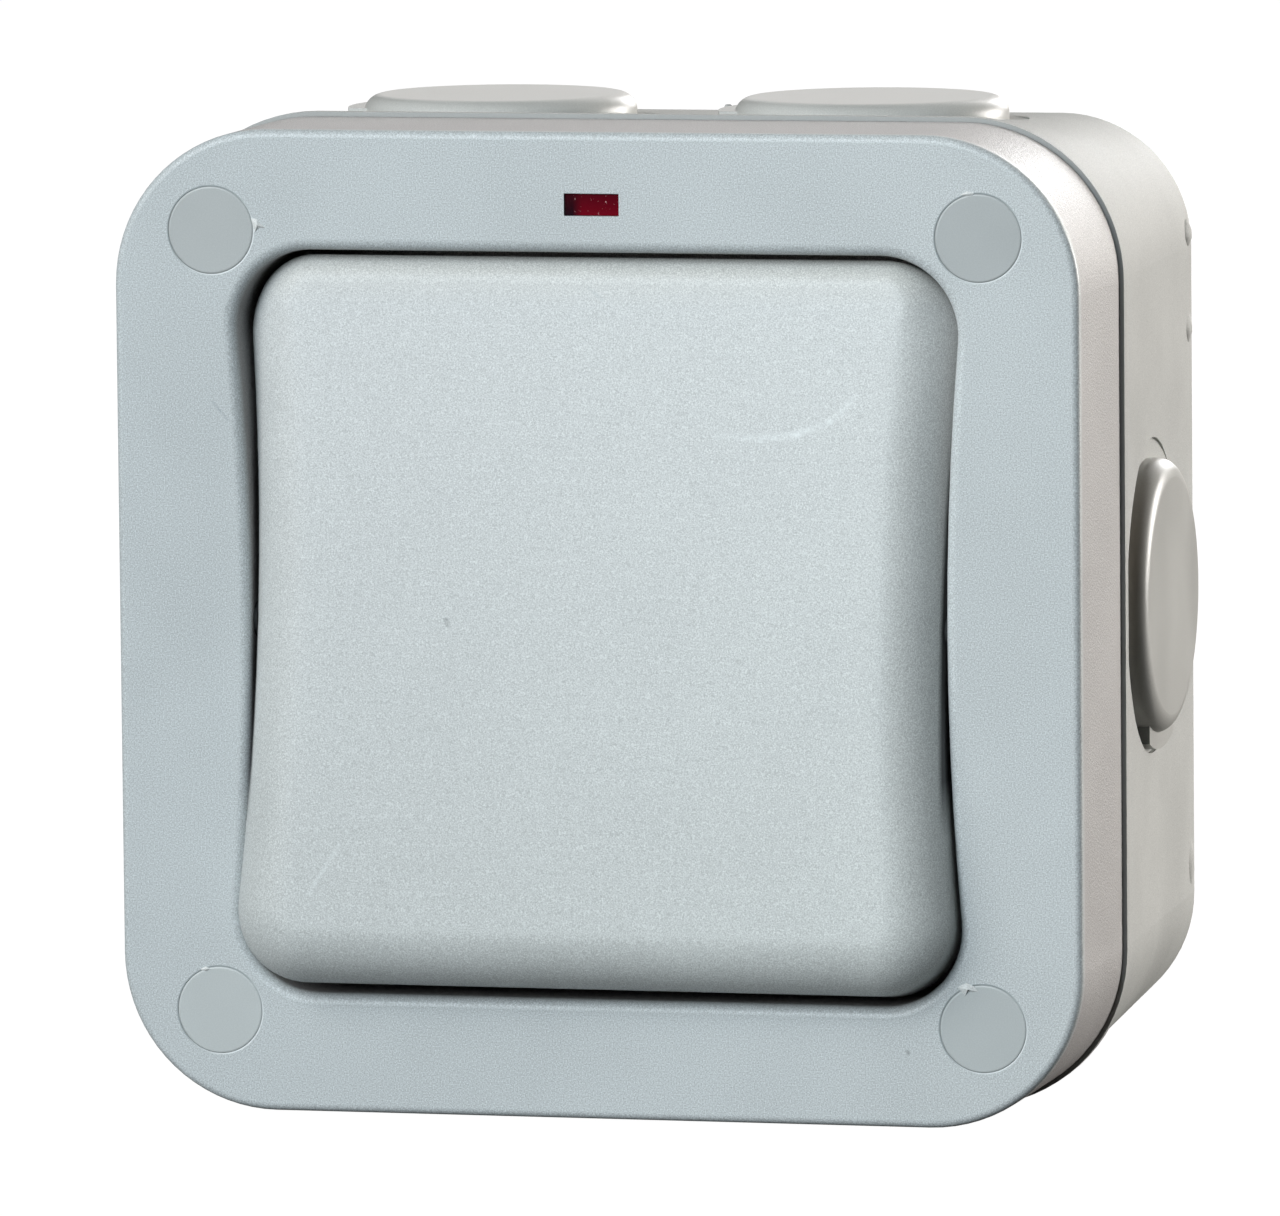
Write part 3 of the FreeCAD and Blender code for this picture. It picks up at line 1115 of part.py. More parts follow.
def draw_rounded_tip(sketch, radius, start, shoulder, tip_radius, ball):
    """Half profile of a stepped pin with a round end, along the upright axis of the sketch."""
    r, low, step, t, centre = [number(text) for text in (radius, start, shoulder, tip_radius, ball)]
    corners = ((0, low), (r, low), (r, step), (t, step), (t, centre))
    points = [Vector(across, up, 0) for across, up in corners]
    for first, second in zip(points, points[1:]):
        sketch.addGeometry(Part.LineSegment(first, second))
    circle = Part.Circle(Vector(0, centre, 0), Vector(0, 0, 1), t)
    sketch.addGeometry(Part.ArcOfCircle(circle, 0, math.pi / 2))
    sketch.addGeometry(Part.LineSegment(Vector(0, centre + t, 0), Vector(0, low, 0)))
    for index in range(5):
        sketch.addConstraint(Sketcher.Constraint("Coincident", index, 2, index + 1, 1))
    sketch.addConstraint(Sketcher.Constraint("Coincident", 5, 2, 0, 1))
    sketch.addConstraint(Sketcher.Constraint("PointOnObject", 4, 3, -2))
    sketch.addConstraint(Sketcher.Constraint("PointOnObject", 4, 2, -2))
    place_point(sketch, "start", 0, 1, "0", start)
    place_point(sketch, "edge", 1, 1, radius, start)
    place_point(sketch, "step", 2, 1, radius, shoulder)
    place_point(sketch, "foot", 3, 1, tip_radius, shoulder)
    place_point(sketch, "neck", 4, 1, tip_radius, ball)
    constrain(sketch, "DistanceY", "ball", ball, -1, 1, 4, 3)


def build_seesaw():
    """Contact strip that tips on its pin, with a rivet near each end."""
    body = new_body("moving_contact")
    strip = new_sketch(body, "Strip", "XZ_Plane", "-seesaw_thick / 2")
    draw_rectangle(strip, "strip", "-seesaw_width / 2", "seesaw_width / 2",
                   "-seesaw_length / 2", "seesaw_length / 2")
    pad(body, strip, "seesaw_thick")
    rivets = new_sketch(body, "Rivets", "XZ_Plane", "0")
    draw_circle(rivets, "upper", "rivet_radius", "0", "rivet_spread")
    draw_circle(rivets, "lower", "rivet_radius", "0", "-rivet_spread")
    pad(body, rivets, "seesaw_thick / 2 + rivet_height", backwards=True)
    start = "(seesaw_width / 2 - pin_end)"
    reach = "(bridge_spread + brass_thick + pin_end)"
    add_pins(body, "SeesawPin", "seesaw_pin_radius", start, "%s - %s" % (reach, start))
    turn_about(body, "seesaw_setback", Vector(-1, 0, 0), "seesaw_turn")


def terminal_block(name, rise):
    """Clamp block behind the housing and the strip that passes through the housing's floor."""
    back = "(%s - terminal_depth)" % MECH_BACK
    middle = "(%s - terminal_depth / 2)" % MECH_BACK
    high = "(%s) + terminal_height / 2" % rise
    low = "(%s) - terminal_height / 2" % rise
    clamp = block(name + "Clamp", ("-terminal_width / 2", "terminal_width / 2"),
                  ("-" + MECH_BACK, "-" + back), (low, high))
    wire = rod(name + "WireHole", "wire_radius", "2 * terminal_width", "-terminal_width", "-" + middle,
               rise, TO_THE_RIGHT)
    thread = rod(name + "Thread", "clamp_radius", "terminal_depth / 2", "0", "-" + back, rise, TO_THE_USER)
    return cut(name + "Block", clamp, [wire, thread])


def terminal_strip(name, rise, front):
    """Upright strip from the clamp block to a height inside the housing."""
    foot = "(%s - brass_thick)" % MECH_BACK
    return block(name + "Strip", ("-strip_width / 2", "strip_width / 2"), ("-(%s)" % front, "-" + foot),
                 ("(%s) - brass_thick / 2" % rise, "(%s) + brass_thick / 2" % rise))


def build_terminals():
    """Common terminal with the bridge of the see-saw, and the two switched terminals."""
    inside = MECH_INSIDE
    outer = "(bridge_spread + brass_thick)"
    half_z = "bridge_height / 2"
    seesaw = "(total_depth - seesaw_setback)"
    top = "(%s + ear_rise)" % seesaw
    base = block("BridgeBase", ("-" + outer, outer), ("-(%s + brass_thick)" % inside, "-" + inside),
                 ("-" + half_z, half_z))
    depth, up = ("-" + top, "-" + inside), ("-" + half_z, half_z)
    right = block("BridgeEarRight", ("bridge_spread", outer), depth, up)
    left = block("BridgeEarLeft", ("-" + outer, "-bridge_spread"), depth, up)
    hole = rod("BridgeHole", "seesaw_pin_radius + running_clearance", "2 * " + outer, "-" + outer,
               "-" + seesaw, "0", TO_THE_RIGHT)
    bridge = cut("Bridge", fuse("BridgeBlank", [base, right, left]), [hole])
    strip = terminal_strip("Common", "0", inside + " + brass_thick / 2")
    finish(fuse("CommonTerminal", [terminal_block("Common", "0"), strip, bridge]), "terminal_common")

    pad_front = "(total_depth - pad_setback)"
    for label, rise in TERMINAL_PLACES:
        name = label.replace("terminal_", "Switched_")
        sign = -1 if rise.startswith("-") else 1
        inner = "(terminal_pitch + brass_thick / 2 - pad_length)"
        outer = "(terminal_pitch + brass_thick / 2)"
        span = (both(inner, 1), both(outer, 1)) if sign > 0 else (both(outer, -1), both(inner, -1))
        plate = block(name + "Plate", ("-strip_width / 2", "strip_width / 2"),
                      ("-" + pad_front, "-(%s - brass_thick)" % pad_front), span)
        button = rod(name + "Contact", "rivet_radius", "rivet_height + brass_thick / 2", "0",
                     "-(%s - brass_thick / 2)" % pad_front, both("rivet_spread", sign), TO_THE_USER)
        strip = terminal_strip(name, rise, pad_front + " - brass_thick / 2")
        finish(fuse(name + "Terminal", [terminal_block(name, rise), strip, plate, button]), label)


def build_small_screws():
    """Clamp screws of the terminals, the two mechanism screws and the earth terminal."""
    back = "(%s - terminal_depth)" % MECH_BACK
    bite = "(terminal_depth / 2 - wire_radius + clamp_bite)"
    clamps = []
    for step in (-1, 0, 1):
        name = "ClampScrew%d" % (step + 1)
        z = "%d * terminal_pitch" % step
        start = "(%s - clamp_stand - clamp_head_height)" % back
        head = rod(name + "Head", "clamp_head_radius", "clamp_head_height", "0", "-" + start, z, TO_THE_USER)
        shank = rod(name + "Shank", "clamp_radius", "clamp_head_height / 2 + clamp_stand + " + bite, "0",
                    "-(%s + clamp_head_height / 2)" % start, z, TO_THE_USER)
        slot = block(name + "Slot", ("-clamp_head_radius", "clamp_head_radius"),
                     ("-(%s + clamp_head_height / 2)" % start, "-" + start),
                     ("%s - blade_width / 2" % z, "%s + blade_width / 2" % z))
        clamps.append(cut(name, fuse(name + "Blank", [head, shank]), [slot]))
    finish(gather("TerminalScrews", clamps), "terminal_screws")

    screws = []
    for name, x in (("RightMechScrew", "lug_pitch / 2"), ("LeftMechScrew", "-lug_pitch / 2")):
        start = "(%s - mech_head_height)" % LUG_BACK
        head = rod(name + "Head", "mech_head_radius", "mech_head_height", x, "-" + start, "0", TO_THE_USER)
        shank = rod(name + "Shank", "mech_screw_radius", "lug_height + mech_screw_grip", x, "-" + LUG_BACK,
                    "0", TO_THE_USER)
        recess = cross_recess(name + "Slot", x, "0", start, 1)
        screws.append(cut(name, fuse(name + "Blank", [head, shank]), recess))
    finish(gather("MechanismScrews", screws), "mechanism_screws")


def build_earth():
    """Earth block between its clips on the floor of the box, and its screw."""
    seat = "(box_floor + earth_pedestal)"
    top = "(%s + earth_depth)" % seat
    middle = "(%s + earth_depth / 2)" % seat
    low, high = "-earth_drop - earth_height / 2", "-earth_drop + earth_height / 2"
    blank = block("EarthBlank", ("-earth_width / 2", "earth_width / 2"), ("-" + top, "-" + seat),
                  (low, high))
    wire = rod("EarthWireHole", "earth_wire_radius", "2 * earth_height", "0", "-" + middle,
               "-earth_drop - earth_height", UPWARDS)
    thread = rod("EarthThread", "clamp_radius", "earth_depth / 2", "0", "-" + middle, "-earth_drop",
                 TO_THE_USER)
    finish(cut("EarthBlock", blank, [wire, thread]), "earth_terminal")

    end = "(%s + earth_wire_radius - clamp_bite)" % middle
    head_seat_height = "(%s + clamp_stand)" % top
    shank = rod("EarthShank", "clamp_radius", head_seat_height + " - " + end, "0", "-" + end,
                "-earth_drop", TO_THE_USER)
    head = rod("EarthHead", "clamp_head_radius", "clamp_head_height", "0", "-" + head_seat_height,
               "-earth_drop", TO_THE_USER)
    crown = "(%s + clamp_head_height)" % head_seat_height
    slot = block("EarthSlot", ("-clamp_head_radius", "clamp_head_radius"),
                 ("-" + crown, "-(%s - clamp_head_height / 2)" % crown),
                 ("-earth_drop - blade_width / 2", "-earth_drop + blade_width / 2"))
    finish(cut("EarthScrew", fuse("EarthScrewBlank", [shank, head]), [slot]), "earth_screw")


def check_and_export():
    """Stop on any broken object or sketch, then write every piece to its own file."""
    doc.recompute()
    for thing in doc.Objects:
        if "Invalid" in thing.State or "Error" in thing.State:
            raise RuntimeError("%s does not rebuild: %s" % (thing.Name, thing.State))
        if thing.isDerivedFrom("Sketcher::SketchObject") and not thing.FullyConstrained:
            raise RuntimeError("%s is not fully constrained" % thing.Name)
    os.makedirs("parts", exist_ok=True)
    for piece in pieces:
        shape = piece.Shape
        if shape.isNull() or not shape.isValid() or not shape.Solids:
            raise RuntimeError("%s has no sound shape" % piece.Label)
        shape.exportStep("parts/%s.step" % piece.Label)
        box = shape.BoundBox
        spans = "%.2f %.2f %.2f" % (box.XLength, box.YLength, box.ZLength)
        print("%-18s %d solid %9.1f mm3  %s" % (piece.Label, len(shape.Solids), shape.Volume, spans))


build_back_box()
build_front_cover()
build_rocker()
build_boot()
build_gasket()
build_cover_screws()
build_caps()
build_plugs()
build_indicator()
build_mechanism_housing()
build_dolly()
build_seesaw()
build_terminals()
build_small_screws()
build_earth()
check_and_export()
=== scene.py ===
"""Looks of the outdoor light switch: finishes, small moulding marks, light and camera.

Metres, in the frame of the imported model: X to the right, Y into the wall, Z up, and the
origin at the centre of the back face.
"""

import json
import math

import bmesh
import bpy
from mathutils import Matrix, Vector


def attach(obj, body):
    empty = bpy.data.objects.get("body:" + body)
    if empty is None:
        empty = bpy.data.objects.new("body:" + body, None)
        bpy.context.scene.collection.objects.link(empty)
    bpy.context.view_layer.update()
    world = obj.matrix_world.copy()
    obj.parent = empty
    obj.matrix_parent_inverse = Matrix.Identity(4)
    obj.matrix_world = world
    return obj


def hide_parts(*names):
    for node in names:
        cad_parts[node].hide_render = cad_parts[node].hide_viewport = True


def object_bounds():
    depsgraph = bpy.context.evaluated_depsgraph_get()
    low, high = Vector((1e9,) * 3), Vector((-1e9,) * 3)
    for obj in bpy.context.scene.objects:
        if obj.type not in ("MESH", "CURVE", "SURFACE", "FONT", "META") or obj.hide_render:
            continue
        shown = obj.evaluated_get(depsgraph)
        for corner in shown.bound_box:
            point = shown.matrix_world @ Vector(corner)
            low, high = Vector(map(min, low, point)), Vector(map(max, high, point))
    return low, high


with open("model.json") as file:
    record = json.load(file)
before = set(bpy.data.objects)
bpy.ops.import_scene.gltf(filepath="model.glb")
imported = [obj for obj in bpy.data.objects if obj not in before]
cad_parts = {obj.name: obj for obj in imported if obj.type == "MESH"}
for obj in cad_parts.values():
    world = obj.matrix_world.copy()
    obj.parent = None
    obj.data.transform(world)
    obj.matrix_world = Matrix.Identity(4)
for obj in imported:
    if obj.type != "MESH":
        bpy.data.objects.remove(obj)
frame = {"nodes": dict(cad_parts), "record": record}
cad_low, cad_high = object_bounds()

MM = 0.001

# Sizes that the source gives
FRONT = -58.0 * MM  # front of the cover
FIXING = 35.0  # middle to each cap, across and up, in millimetres
PIVOT = Vector((0, -55.2 * MM, 0))  # the rocker's axis
REST_TILT = math.radians(8)
ROCKER_FRONT = 4.6 * MM  # the rocker's axis to the flat front of the level rocker
ROCKER_HALF = 32.4 * MM  # half the rocker's height
WAIST_HALF = 31.52 * MM  # half the rocker's width at its waist, and a little
PIN_ZONE = 1.8 * MM  # reach of the pins, up and down

# Front skin of the rocker, as the photograph shows it
ROCKER_CROWN = 0.6 * MM  # rise of the middle over both ends
ROCKER_LIFT = 1.4 * MM  # rise of the top end
ROUND_START = -1.2 * MM  # depth at which the rounding starts, from the axis
ROUND_SLACK = 0.01 * MM  # a corner that is deeper by this still belongs to the front
ROUND_SIDE = 5.6 * MM
ROUND_TOP = 2.6 * MM
ROUND_BOTTOM = 5.0 * MM
TOP_DEEP = 1.4 * MM  # depth of the rounding at the top end
SHORT_WALL = 0.08 * MM  # wall left between the source's walls and the rounding
SHARP_ANGLE = math.radians(28)
WELD = 0.001 * MM  # corners of the mesh as near as this are one
ROUND_STEPS = 14
FACE_STEPS = 16

# Noises, in features per millimetre
CLOUDS = 0.08
GRAIN = 8.0
COARSE_GRAIN = 4.5
PATCHES = 1.6

# Ring that closes the gap round a cap: radius and depth in millimetres
SEAM_PROFILE = ((3.92, 0.03), (4.01, -0.01), (4.10, 0.03))
SEAM_CORNERS = 96

RIM_LIFT = 0.005  # rim of a scrap of moulding over the face, in millimetres

# Where painted shade, painted light and coarser grain set in, and where each is full
SIDE_WALLS = (30.0 * MM, 30.2 * MM)  # rocker's, from the middle
WAIST = (18.0 * MM, 13.0 * MM)  # rocker's, up and down from the middle
GAP = (ROUND_START - 1.1 * MM, ROUND_START - 0.5 * MM)  # beside the rocker, from its axis
COVER_SIDES = (FRONT + 0.6 * MM, FRONT + 1.6 * MM)
PLUG_WALLS = (41.5 * MM, 42.0 * MM)  # side plugs', from the middle
PLUG_HEIGHT = (-14 * MM, 14 * MM)
PLUG_FRONT = (-0.35, -0.85)  # Y of the normal
LEDGE = (-40.90 * MM, -40.97 * MM)
WINDOW_LEFT = (-1.75 * MM, -0.9 * MM)
WINDOW_TOP = (36.6 * MM, 38.6 * MM)
SEAM_LIGHT = (-1.0 * MM, 3.4 * MM)  # across a cap, from its middle towards bottom right


def on_cover(point, lift=0.0):
    """Point of the cover's front, from millimetres across, up and out from it."""
    across, up = point
    return Vector((across * MM, FRONT - lift * MM, up * MM))


def crowned_front(up):
    """Depth of the level rocker's front, which is crowned and stands out towards its top."""
    share = up / ROCKER_HALF
    return -ROCKER_FRONT - ROCKER_CROWN * (1 - share ** 2) - ROCKER_LIFT * (1 + share) ** 2 / 4


def on_rocker(point):
    """Point of the rocker's front at rest, from millimetres across and up on it."""
    across, up = point
    level = Vector((across * MM, crowned_front(up * MM), up * MM))
    return PIVOT + Matrix.Rotation(-REST_TILT, 3, "X") @ level


# Nodes of materials

def new_material(name):
    material = bpy.data.materials.new(name)
    material.use_nodes = True
    tree = material.node_tree
    shader = tree.nodes["Principled BSDF"]
    return material, tree, shader


def add_node(tree, kind, values=None, **settings):
    """Add a node, with its settings by name and its sockets' values by name or number."""
    node = tree.nodes.new("ShaderNode" + kind)
    for name, value in settings.items():
        setattr(node, name, value)
    for socket, value in (values or {}).items():
        node.inputs[socket].default_value = value
    return node


def link(tree, source, output, target, socket):
    tree.links.new(source.outputs[output], target.inputs[socket])


def noise(tree, coords, scale, detail=2.0, roughness=0.5):
    """Noise whose scale is given in features per millimetre."""
    node = add_node(tree, "TexNoise",
                    {"Scale": scale / MM, "Detail": detail, "Roughness": roughness})
    link(tree, coords, "Object", node, "Vector")
    return node


def places(tree, coords, output="Object"):
    """Node that gives X, Y and Z of the place in the frame, or of the normal there."""
    node = add_node(tree, "SeparateXYZ")
    link(tree, coords, output, node, "Vector")
    return node


def size_of(tree, source, axis):
    """Value along an axis without its sign."""
    node = add_node(tree, "Math", operation="ABSOLUTE")
    link(tree, source, axis, node, 0)
    return node


def ramp(tree, source, output, low, high, low_value, high_value):
    """Value that runs from low_value to high_value as the source goes from low to high."""
    node = add_node(tree, "MapRange", {"From Min": low, "From Max": high,
                                       "To Min": low_value, "To Max": high_value})
    link(tree, source, output, node, "Value")
    return node


def product(tree, first, second):
    """One mask times another. Each is a node, and its own product can be used again."""
    node = add_node(tree, "Math", operation="MULTIPLY")
    tree.links.new(first.outputs[0], node.inputs[0])
    tree.links.new(second.outputs[0], node.inputs[1])
    return node


def blend_colours(tree, factor, output, first, second):
    """Mix of two colours, each a colour, a socket or the mix whose colour it takes."""
    node = add_node(tree, "Mix", data_type="RGBA")
    link(tree, factor, output, node, "Factor")
    for socket, colour in ((6, first), (7, second)):
        if isinstance(colour, bpy.types.Node):
            tree.links.new(colour.outputs[2], node.inputs[socket])
        elif isinstance(colour, bpy.types.NodeSocket):
            tree.links.new(colour, node.inputs[socket])
        else:
            node.inputs[socket].default_value = (*colour, 1)
    return node


def streak_mask(tree, coords, start, end, width):
    """1 on the line between two points, falling to 0 at the width given in millimetres."""
    run = end - start
    offset = add_node(tree, "VectorMath", {1: start}, operation="SUBTRACT")
    link(tree, coords, "Object", offset, 0)
    along = add_node(tree, "VectorMath", {1: run / run.length_squared}, operation="DOT_PRODUCT")
    link(tree, offset, "Vector", along, 0)
    inside = ramp(tree, along, "Value", 0, 1, 0, 1)
    foot = add_node(tree, "VectorMath", {0: run}, operation="SCALE")
    link(tree, inside, "Result", foot, "Scale")
    away = add_node(tree, "VectorMath", operation="SUBTRACT")
    link(tree, offset, "Vector", away, 0)
    link(tree, foot, "Vector", away, 1)
    distance = add_node(tree, "VectorMath", operation="LENGTH")
    link(tree, away, "Vector", distance, 0)
    return ramp(tree, distance, "Value", 0, width * MM, 1, 0)


def moulded_plastic(name, colour, grain=1.0, roughness=0.45, marks=(), mottle=0.03, gloss=0.5):
    """Moulded plastic with spark eroded grain, a little mottling and the marks listed.

    Each mark is start, end, width in millimetres, colour and strength.
    """
    material, tree, shader = new_material(name)
    coords = add_node(tree, "TexCoord")
    clouds = noise(tree, coords, CLOUDS, 3.0)
    darker = [c * (1 - mottle) for c in colour]
    lighter = [min(1, c * (1 + mottle)) for c in colour]
    body = ramp(tree, clouds, "Fac", 0.35, 0.65, 0, 1)
    tone = blend_colours(tree, body, "Result", darker, lighter)
    fine = noise(tree, coords, GRAIN, 1.5, 0.7)
    sparkle = ramp(tree, fine, "Fac", 0.5, 0.72, 0, 0.75 * grain)
    pale = [min(1, c * 1.5) for c in colour]
    tone = blend_colours(tree, sparkle, "Result", tone, pale)
    pits = ramp(tree, fine, "Fac", 0.5, 0.28, 0, 0.75 * grain)
    deep = [c * 0.6 for c in colour]
    tone = blend_colours(tree, pits, "Result", tone, deep)
    for start, end, width, mark_colour, strength in marks:
        mask = streak_mask(tree, coords, start, end, width)
        patchy = noise(tree, coords, PATCHES, 2.0)
        broken = ramp(tree, patchy, "Fac", 0.35, 0.6, 0.25 * strength, strength)
        tone = blend_colours(tree, product(tree, mask, broken), "Value", tone, mark_colour)
    tree.links.new(tone.outputs[2], shader.inputs["Base Color"])
    rough = ramp(tree, clouds, "Fac", 0.3, 0.7, roughness - 0.04, roughness + 0.04)
    link(tree, rough, "Result", shader, "Roughness")
    shader.inputs["Specular IOR Level"].default_value = gloss
    bump = add_node(tree, "Bump", {"Strength": 0.5 * grain, "Distance": 0.03 * MM})
    link(tree, fine, "Fac", bump, "Height")
    link(tree, bump, "Normal", shader, "Normal")
    return material


def shader_of(material):
    tree = material.node_tree
    return tree, tree.nodes["Principled BSDF"]


def source_of(shader, socket):
    """Socket that feeds one of a shader's sockets."""
    return shader.inputs[socket].links[0].from_socket


def shaded_waist(material):
    """Darken the rocker's side walls and pins at its waist, deep in the gap beside it."""
    tree, shader = shader_of(material)
    body = source_of(shader, "Base Color")
    shade, darkest = (0.012, 0.013, 0.015), 0.95
    coords = add_node(tree, "TexCoord")
    place = places(tree, coords)
    at_side = ramp(tree, size_of(tree, place, "X"), "Value", *SIDE_WALLS, 0, 1)
    at_waist = ramp(tree, size_of(tree, place, "Z"), "Value", *WAIST, 0, 1)
    offset = add_node(tree, "VectorMath", {1: PIVOT}, operation="SUBTRACT")
    link(tree, coords, "Object", offset, 0)
    inward = Matrix.Rotation(-REST_TILT, 3, "X") @ Vector((0, 1, 0))
    depth = add_node(tree, "VectorMath", {1: inward}, operation="DOT_PRODUCT")
    link(tree, offset, "Vector", depth, 0)
    below = ramp(tree, depth, "Value", *GAP, 0, darkest)
    mask = product(tree, product(tree, at_side, at_waist), below)
    tone = blend_colours(tree, mask, "Value", body, shade)
    tree.links.new(tone.outputs[2], shader.inputs["Base Color"])


def coarser_sides(material):
    """Make the grain of the cover's sides stand out more than that of its face."""
    tree, shader = shader_of(material)
    coords = add_node(tree, "TexCoord")
    coarse = noise(tree, coords, COARSE_GRAIN, 2.5, 0.75)
    strength = ramp(tree, places(tree, coords), "Y", *COVER_SIDES, 0, 1)
    bump = add_node(tree, "Bump", {"Distance": 0.07 * MM})
    link(tree, strength, "Result", bump, "Strength")
    link(tree, coarse, "Fac", bump, "Height")
    tree.links.new(source_of(shader, "Normal"), bump.inputs["Normal"])
    link(tree, bump, "Normal", shader, "Normal")


def drift(material, axis, low, high, first, second):
    """Let a plastic's colour drift from one tint to another along an axis, in millimetres."""
    tree, shader = shader_of(material)
    coords = add_node(tree, "TexCoord")
    share = ramp(tree, places(tree, coords), axis, low * MM, high * MM, 0, 1)
    tint = blend_colours(tree, share, "Result", first, second)
    tinted = add_node(tree, "VectorMath", operation="MULTIPLY")
    tree.links.new(source_of(shader, "Base Color"), tinted.inputs[0])
    tree.links.new(tint.outputs[2], tinted.inputs[1])
    tree.links.new(tinted.outputs["Vector"], shader.inputs["Base Color"])


def painted_plug_wall_shade(material):
    """Painted shade on the walls of the side plugs that face the front, brown above and dark
    below.
    """
    tree, shader = shader_of(material)
    body = source_of(shader, "Base Color")
    # Colours of the painted shade, and its strongest share
    warm_shade, dark, plug_shade_share = (0.34, 0.29, 0.245), (0.06, 0.075, 0.075), 0.8
    coords = add_node(tree, "TexCoord")
    place = places(tree, coords)
    facing = places(tree, coords, "Normal")
    beside = ramp(tree, size_of(tree, place, "X"), "Value", *PLUG_WALLS, 0, 1)
    front = ramp(tree, facing, "Y", *PLUG_FRONT, 0, plug_shade_share)
    height = ramp(tree, place, "Z", *PLUG_HEIGHT, 0, 1)
    plug_wall_shade_tone = blend_colours(tree, height, "Result", dark, warm_shade)
    tone = blend_colours(tree, product(tree, beside, front), "Value", body, plug_wall_shade_tone)
    tree.links.new(tone.outputs[2], shader.inputs["Base Color"])


def dark_ledge(material):
    """Darken the front of the box's rim, which lies in the shade of the joint."""
    tree, shader = shader_of(material)
    body = source_of(shader, "Base Color")
    shade, darkest = (0.44, 0.45, 0.44), 0.75
    coords = add_node(tree, "TexCoord")
    mask = ramp(tree, places(tree, coords), "Y", *LEDGE, 0, darkest)
    tone = blend_colours(tree, mask, "Result", body, shade)
    tree.links.new(tone.outputs[2], shader.inputs["Base Color"])


def rubber(name, colour):
    material, tree, shader = new_material(name)
    coords = add_node(tree, "TexCoord")
    dust = noise(tree, coords, 0.6, 4.0)
    film = ramp(tree, dust, "Fac", 0.5, 0.75, 0, 0.35)
    tone = blend_colours(tree, film, "Result", colour, (0.16, 0.16, 0.155))
    tree.links.new(tone.outputs[2], shader.inputs["Base Color"])
    shader.inputs["Roughness"].default_value = 0.7
    bump = add_node(tree, "Bump", {"Strength": 0.2, "Distance": 0.05 * MM})
    link(tree, dust, "Fac", bump, "Height")
    link(tree, bump, "Normal", shader, "Normal")
    return material


def metal(name, colour, roughness, tarnish):
    material, tree, shader = new_material(name)
    coords = add_node(tree, "TexCoord")
    wear = noise(tree, coords, 0.7, 5.0, 0.65)
    spots = ramp(tree, wear, "Fac", 0.5, 0.7, 0, 0.6)
    tone = blend_colours(tree, spots, "Result", colour, tarnish)
    tree.links.new(tone.outputs[2], shader.inputs["Base Color"])
    shader.inputs["Metallic"].default_value = 1.0
    rough = ramp(tree, wear, "Fac", 0.3, 0.7, roughness, roughness + 0.15)
    link(tree, rough, "Result", shader, "Roughness")
    return material


def red_lens(name):
    """Clear red window with painted shade, darker at its left end and its top, with specks of
    dust.
    """
    material, tree, shader = new_material(name)
    coords = add_node(tree, "TexCoord")
    place = places(tree, coords)
    shade = ramp(tree, place, "X", *WINDOW_LEFT, 0, 1)
    tone = blend_colours(tree, shade, "Result", (0.012, 0.002, 0.006), (0.16, 0.0, 0.008))
    # Painted shade at the top of the window
    depth = ramp(tree, place, "Z", *WINDOW_TOP, 0, 0.75)
    tone = blend_colours(tree, depth, "Result", tone, (0.05, 0.0, 0.004))
    dust = noise(tree, coords, 4.2, 3.0, 0.6)
    specks = ramp(tree, dust, "Fac", 0.66, 0.74, 0, 0.8)
    tone = blend_colours(tree, specks, "Result", tone, (0.75, 0.45, 0.45))
    tree.links.new(tone.outputs[2], shader.inputs["Base Color"])
    shader.inputs["Roughness"].default_value = 0.12
    shader.inputs["Specular IOR Level"].default_value = 0.35
    bump = add_node(tree, "Bump", {"Strength": 0.15, "Distance": 0.04 * MM})
    link(tree, dust, "Fac", bump, "Height")
    link(tree, bump, "Normal", shader, "Normal")
    return material


def lamp_glass(name):
    material, tree, shader = new_material(name)
    coords = add_node(tree, "TexCoord")
    smoke = noise(tree, coords, 0.5, 2.0)
    share = ramp(tree, smoke, "Fac", 0.4, 0.6, 0, 1)
    tone = blend_colours(tree, share, "Result", (0.95, 0.86, 0.80), (0.80, 0.62, 0.50))
    tree.links.new(tone.outputs[2], shader.inputs["Base Color"])
    shader.inputs["Roughness"].default_value = 0.05
    shader.inputs["Transmission Weight"].default_value = 0.85
    return material


# Marks that the photograph shows: start and end in millimetres across and up, width in
# millimetres, colour and strength

WHITE = (1.0, 1.0, 1.0)
PALE = (0.80, 0.84, 0.84)
DARK = (0.03, 0.035, 0.04)
SLATE = (0.28, 0.33, 0.36)
FAINT_SLATE = (0.42, 0.47, 0.48)
INK = (0.05, 0.05, 0.10)

COVER_MARKS = [
    (on_cover((28.09, -37.2)), on_cover((28.2, -37.3)), 0.25, DARK, 1.0),
    (on_cover((-34.96, 19.6)), on_cover((-33.6, 18.05)), 0.16, SLATE, 0.6)]
ROCKER_MARKS = [
    (on_rocker((-0.6, 29.6)), on_rocker((0.7, 28.6)), 0.25, FAINT_SLATE, 0.5),
    (on_rocker((11.4, 16.6)), on_rocker((15.5, 16.5)), 0.45, PALE, 0.35),
    (on_rocker((15.5, 16.5)), on_rocker((18.7, 16.9)), 0.5, PALE, 0.5),
    (on_rocker((18.7, 16.9)), on_rocker((21.6, 18.1)), 0.5, PALE, 0.55),
    (on_rocker((21.6, 18.1)), on_rocker((23.6, 19.9)), 0.4, PALE, 0.45),
    (on_rocker((-12.95, 0.0)), on_rocker((-12.8, -0.35)), 0.32, DARK, 1.0),
    (on_rocker((29.6, 4.5)), on_rocker((29.75, 4.4)), 0.38, INK, 1.0),
    (on_rocker((-25.1, -24.5)), on_rocker((-22.4, -20.1)), 0.3, PALE, 0.4)]


def new_piece(name, mesh):
    """Put a mesh into the scene as an object."""
    piece = bpy.data.objects.new(name, mesh)
    bpy.context.collection.objects.link(piece)
    return piece


def bridge(form, rings):
    """Lay faces between each closed ring of corners and the next."""
    for outer, inner in zip(rings, rings[1:]):
        for index in range(len(outer)):
            after = (index + 1) % len(outer)
            form.faces.new((outer[index], outer[after], inner[after], inner[index]))


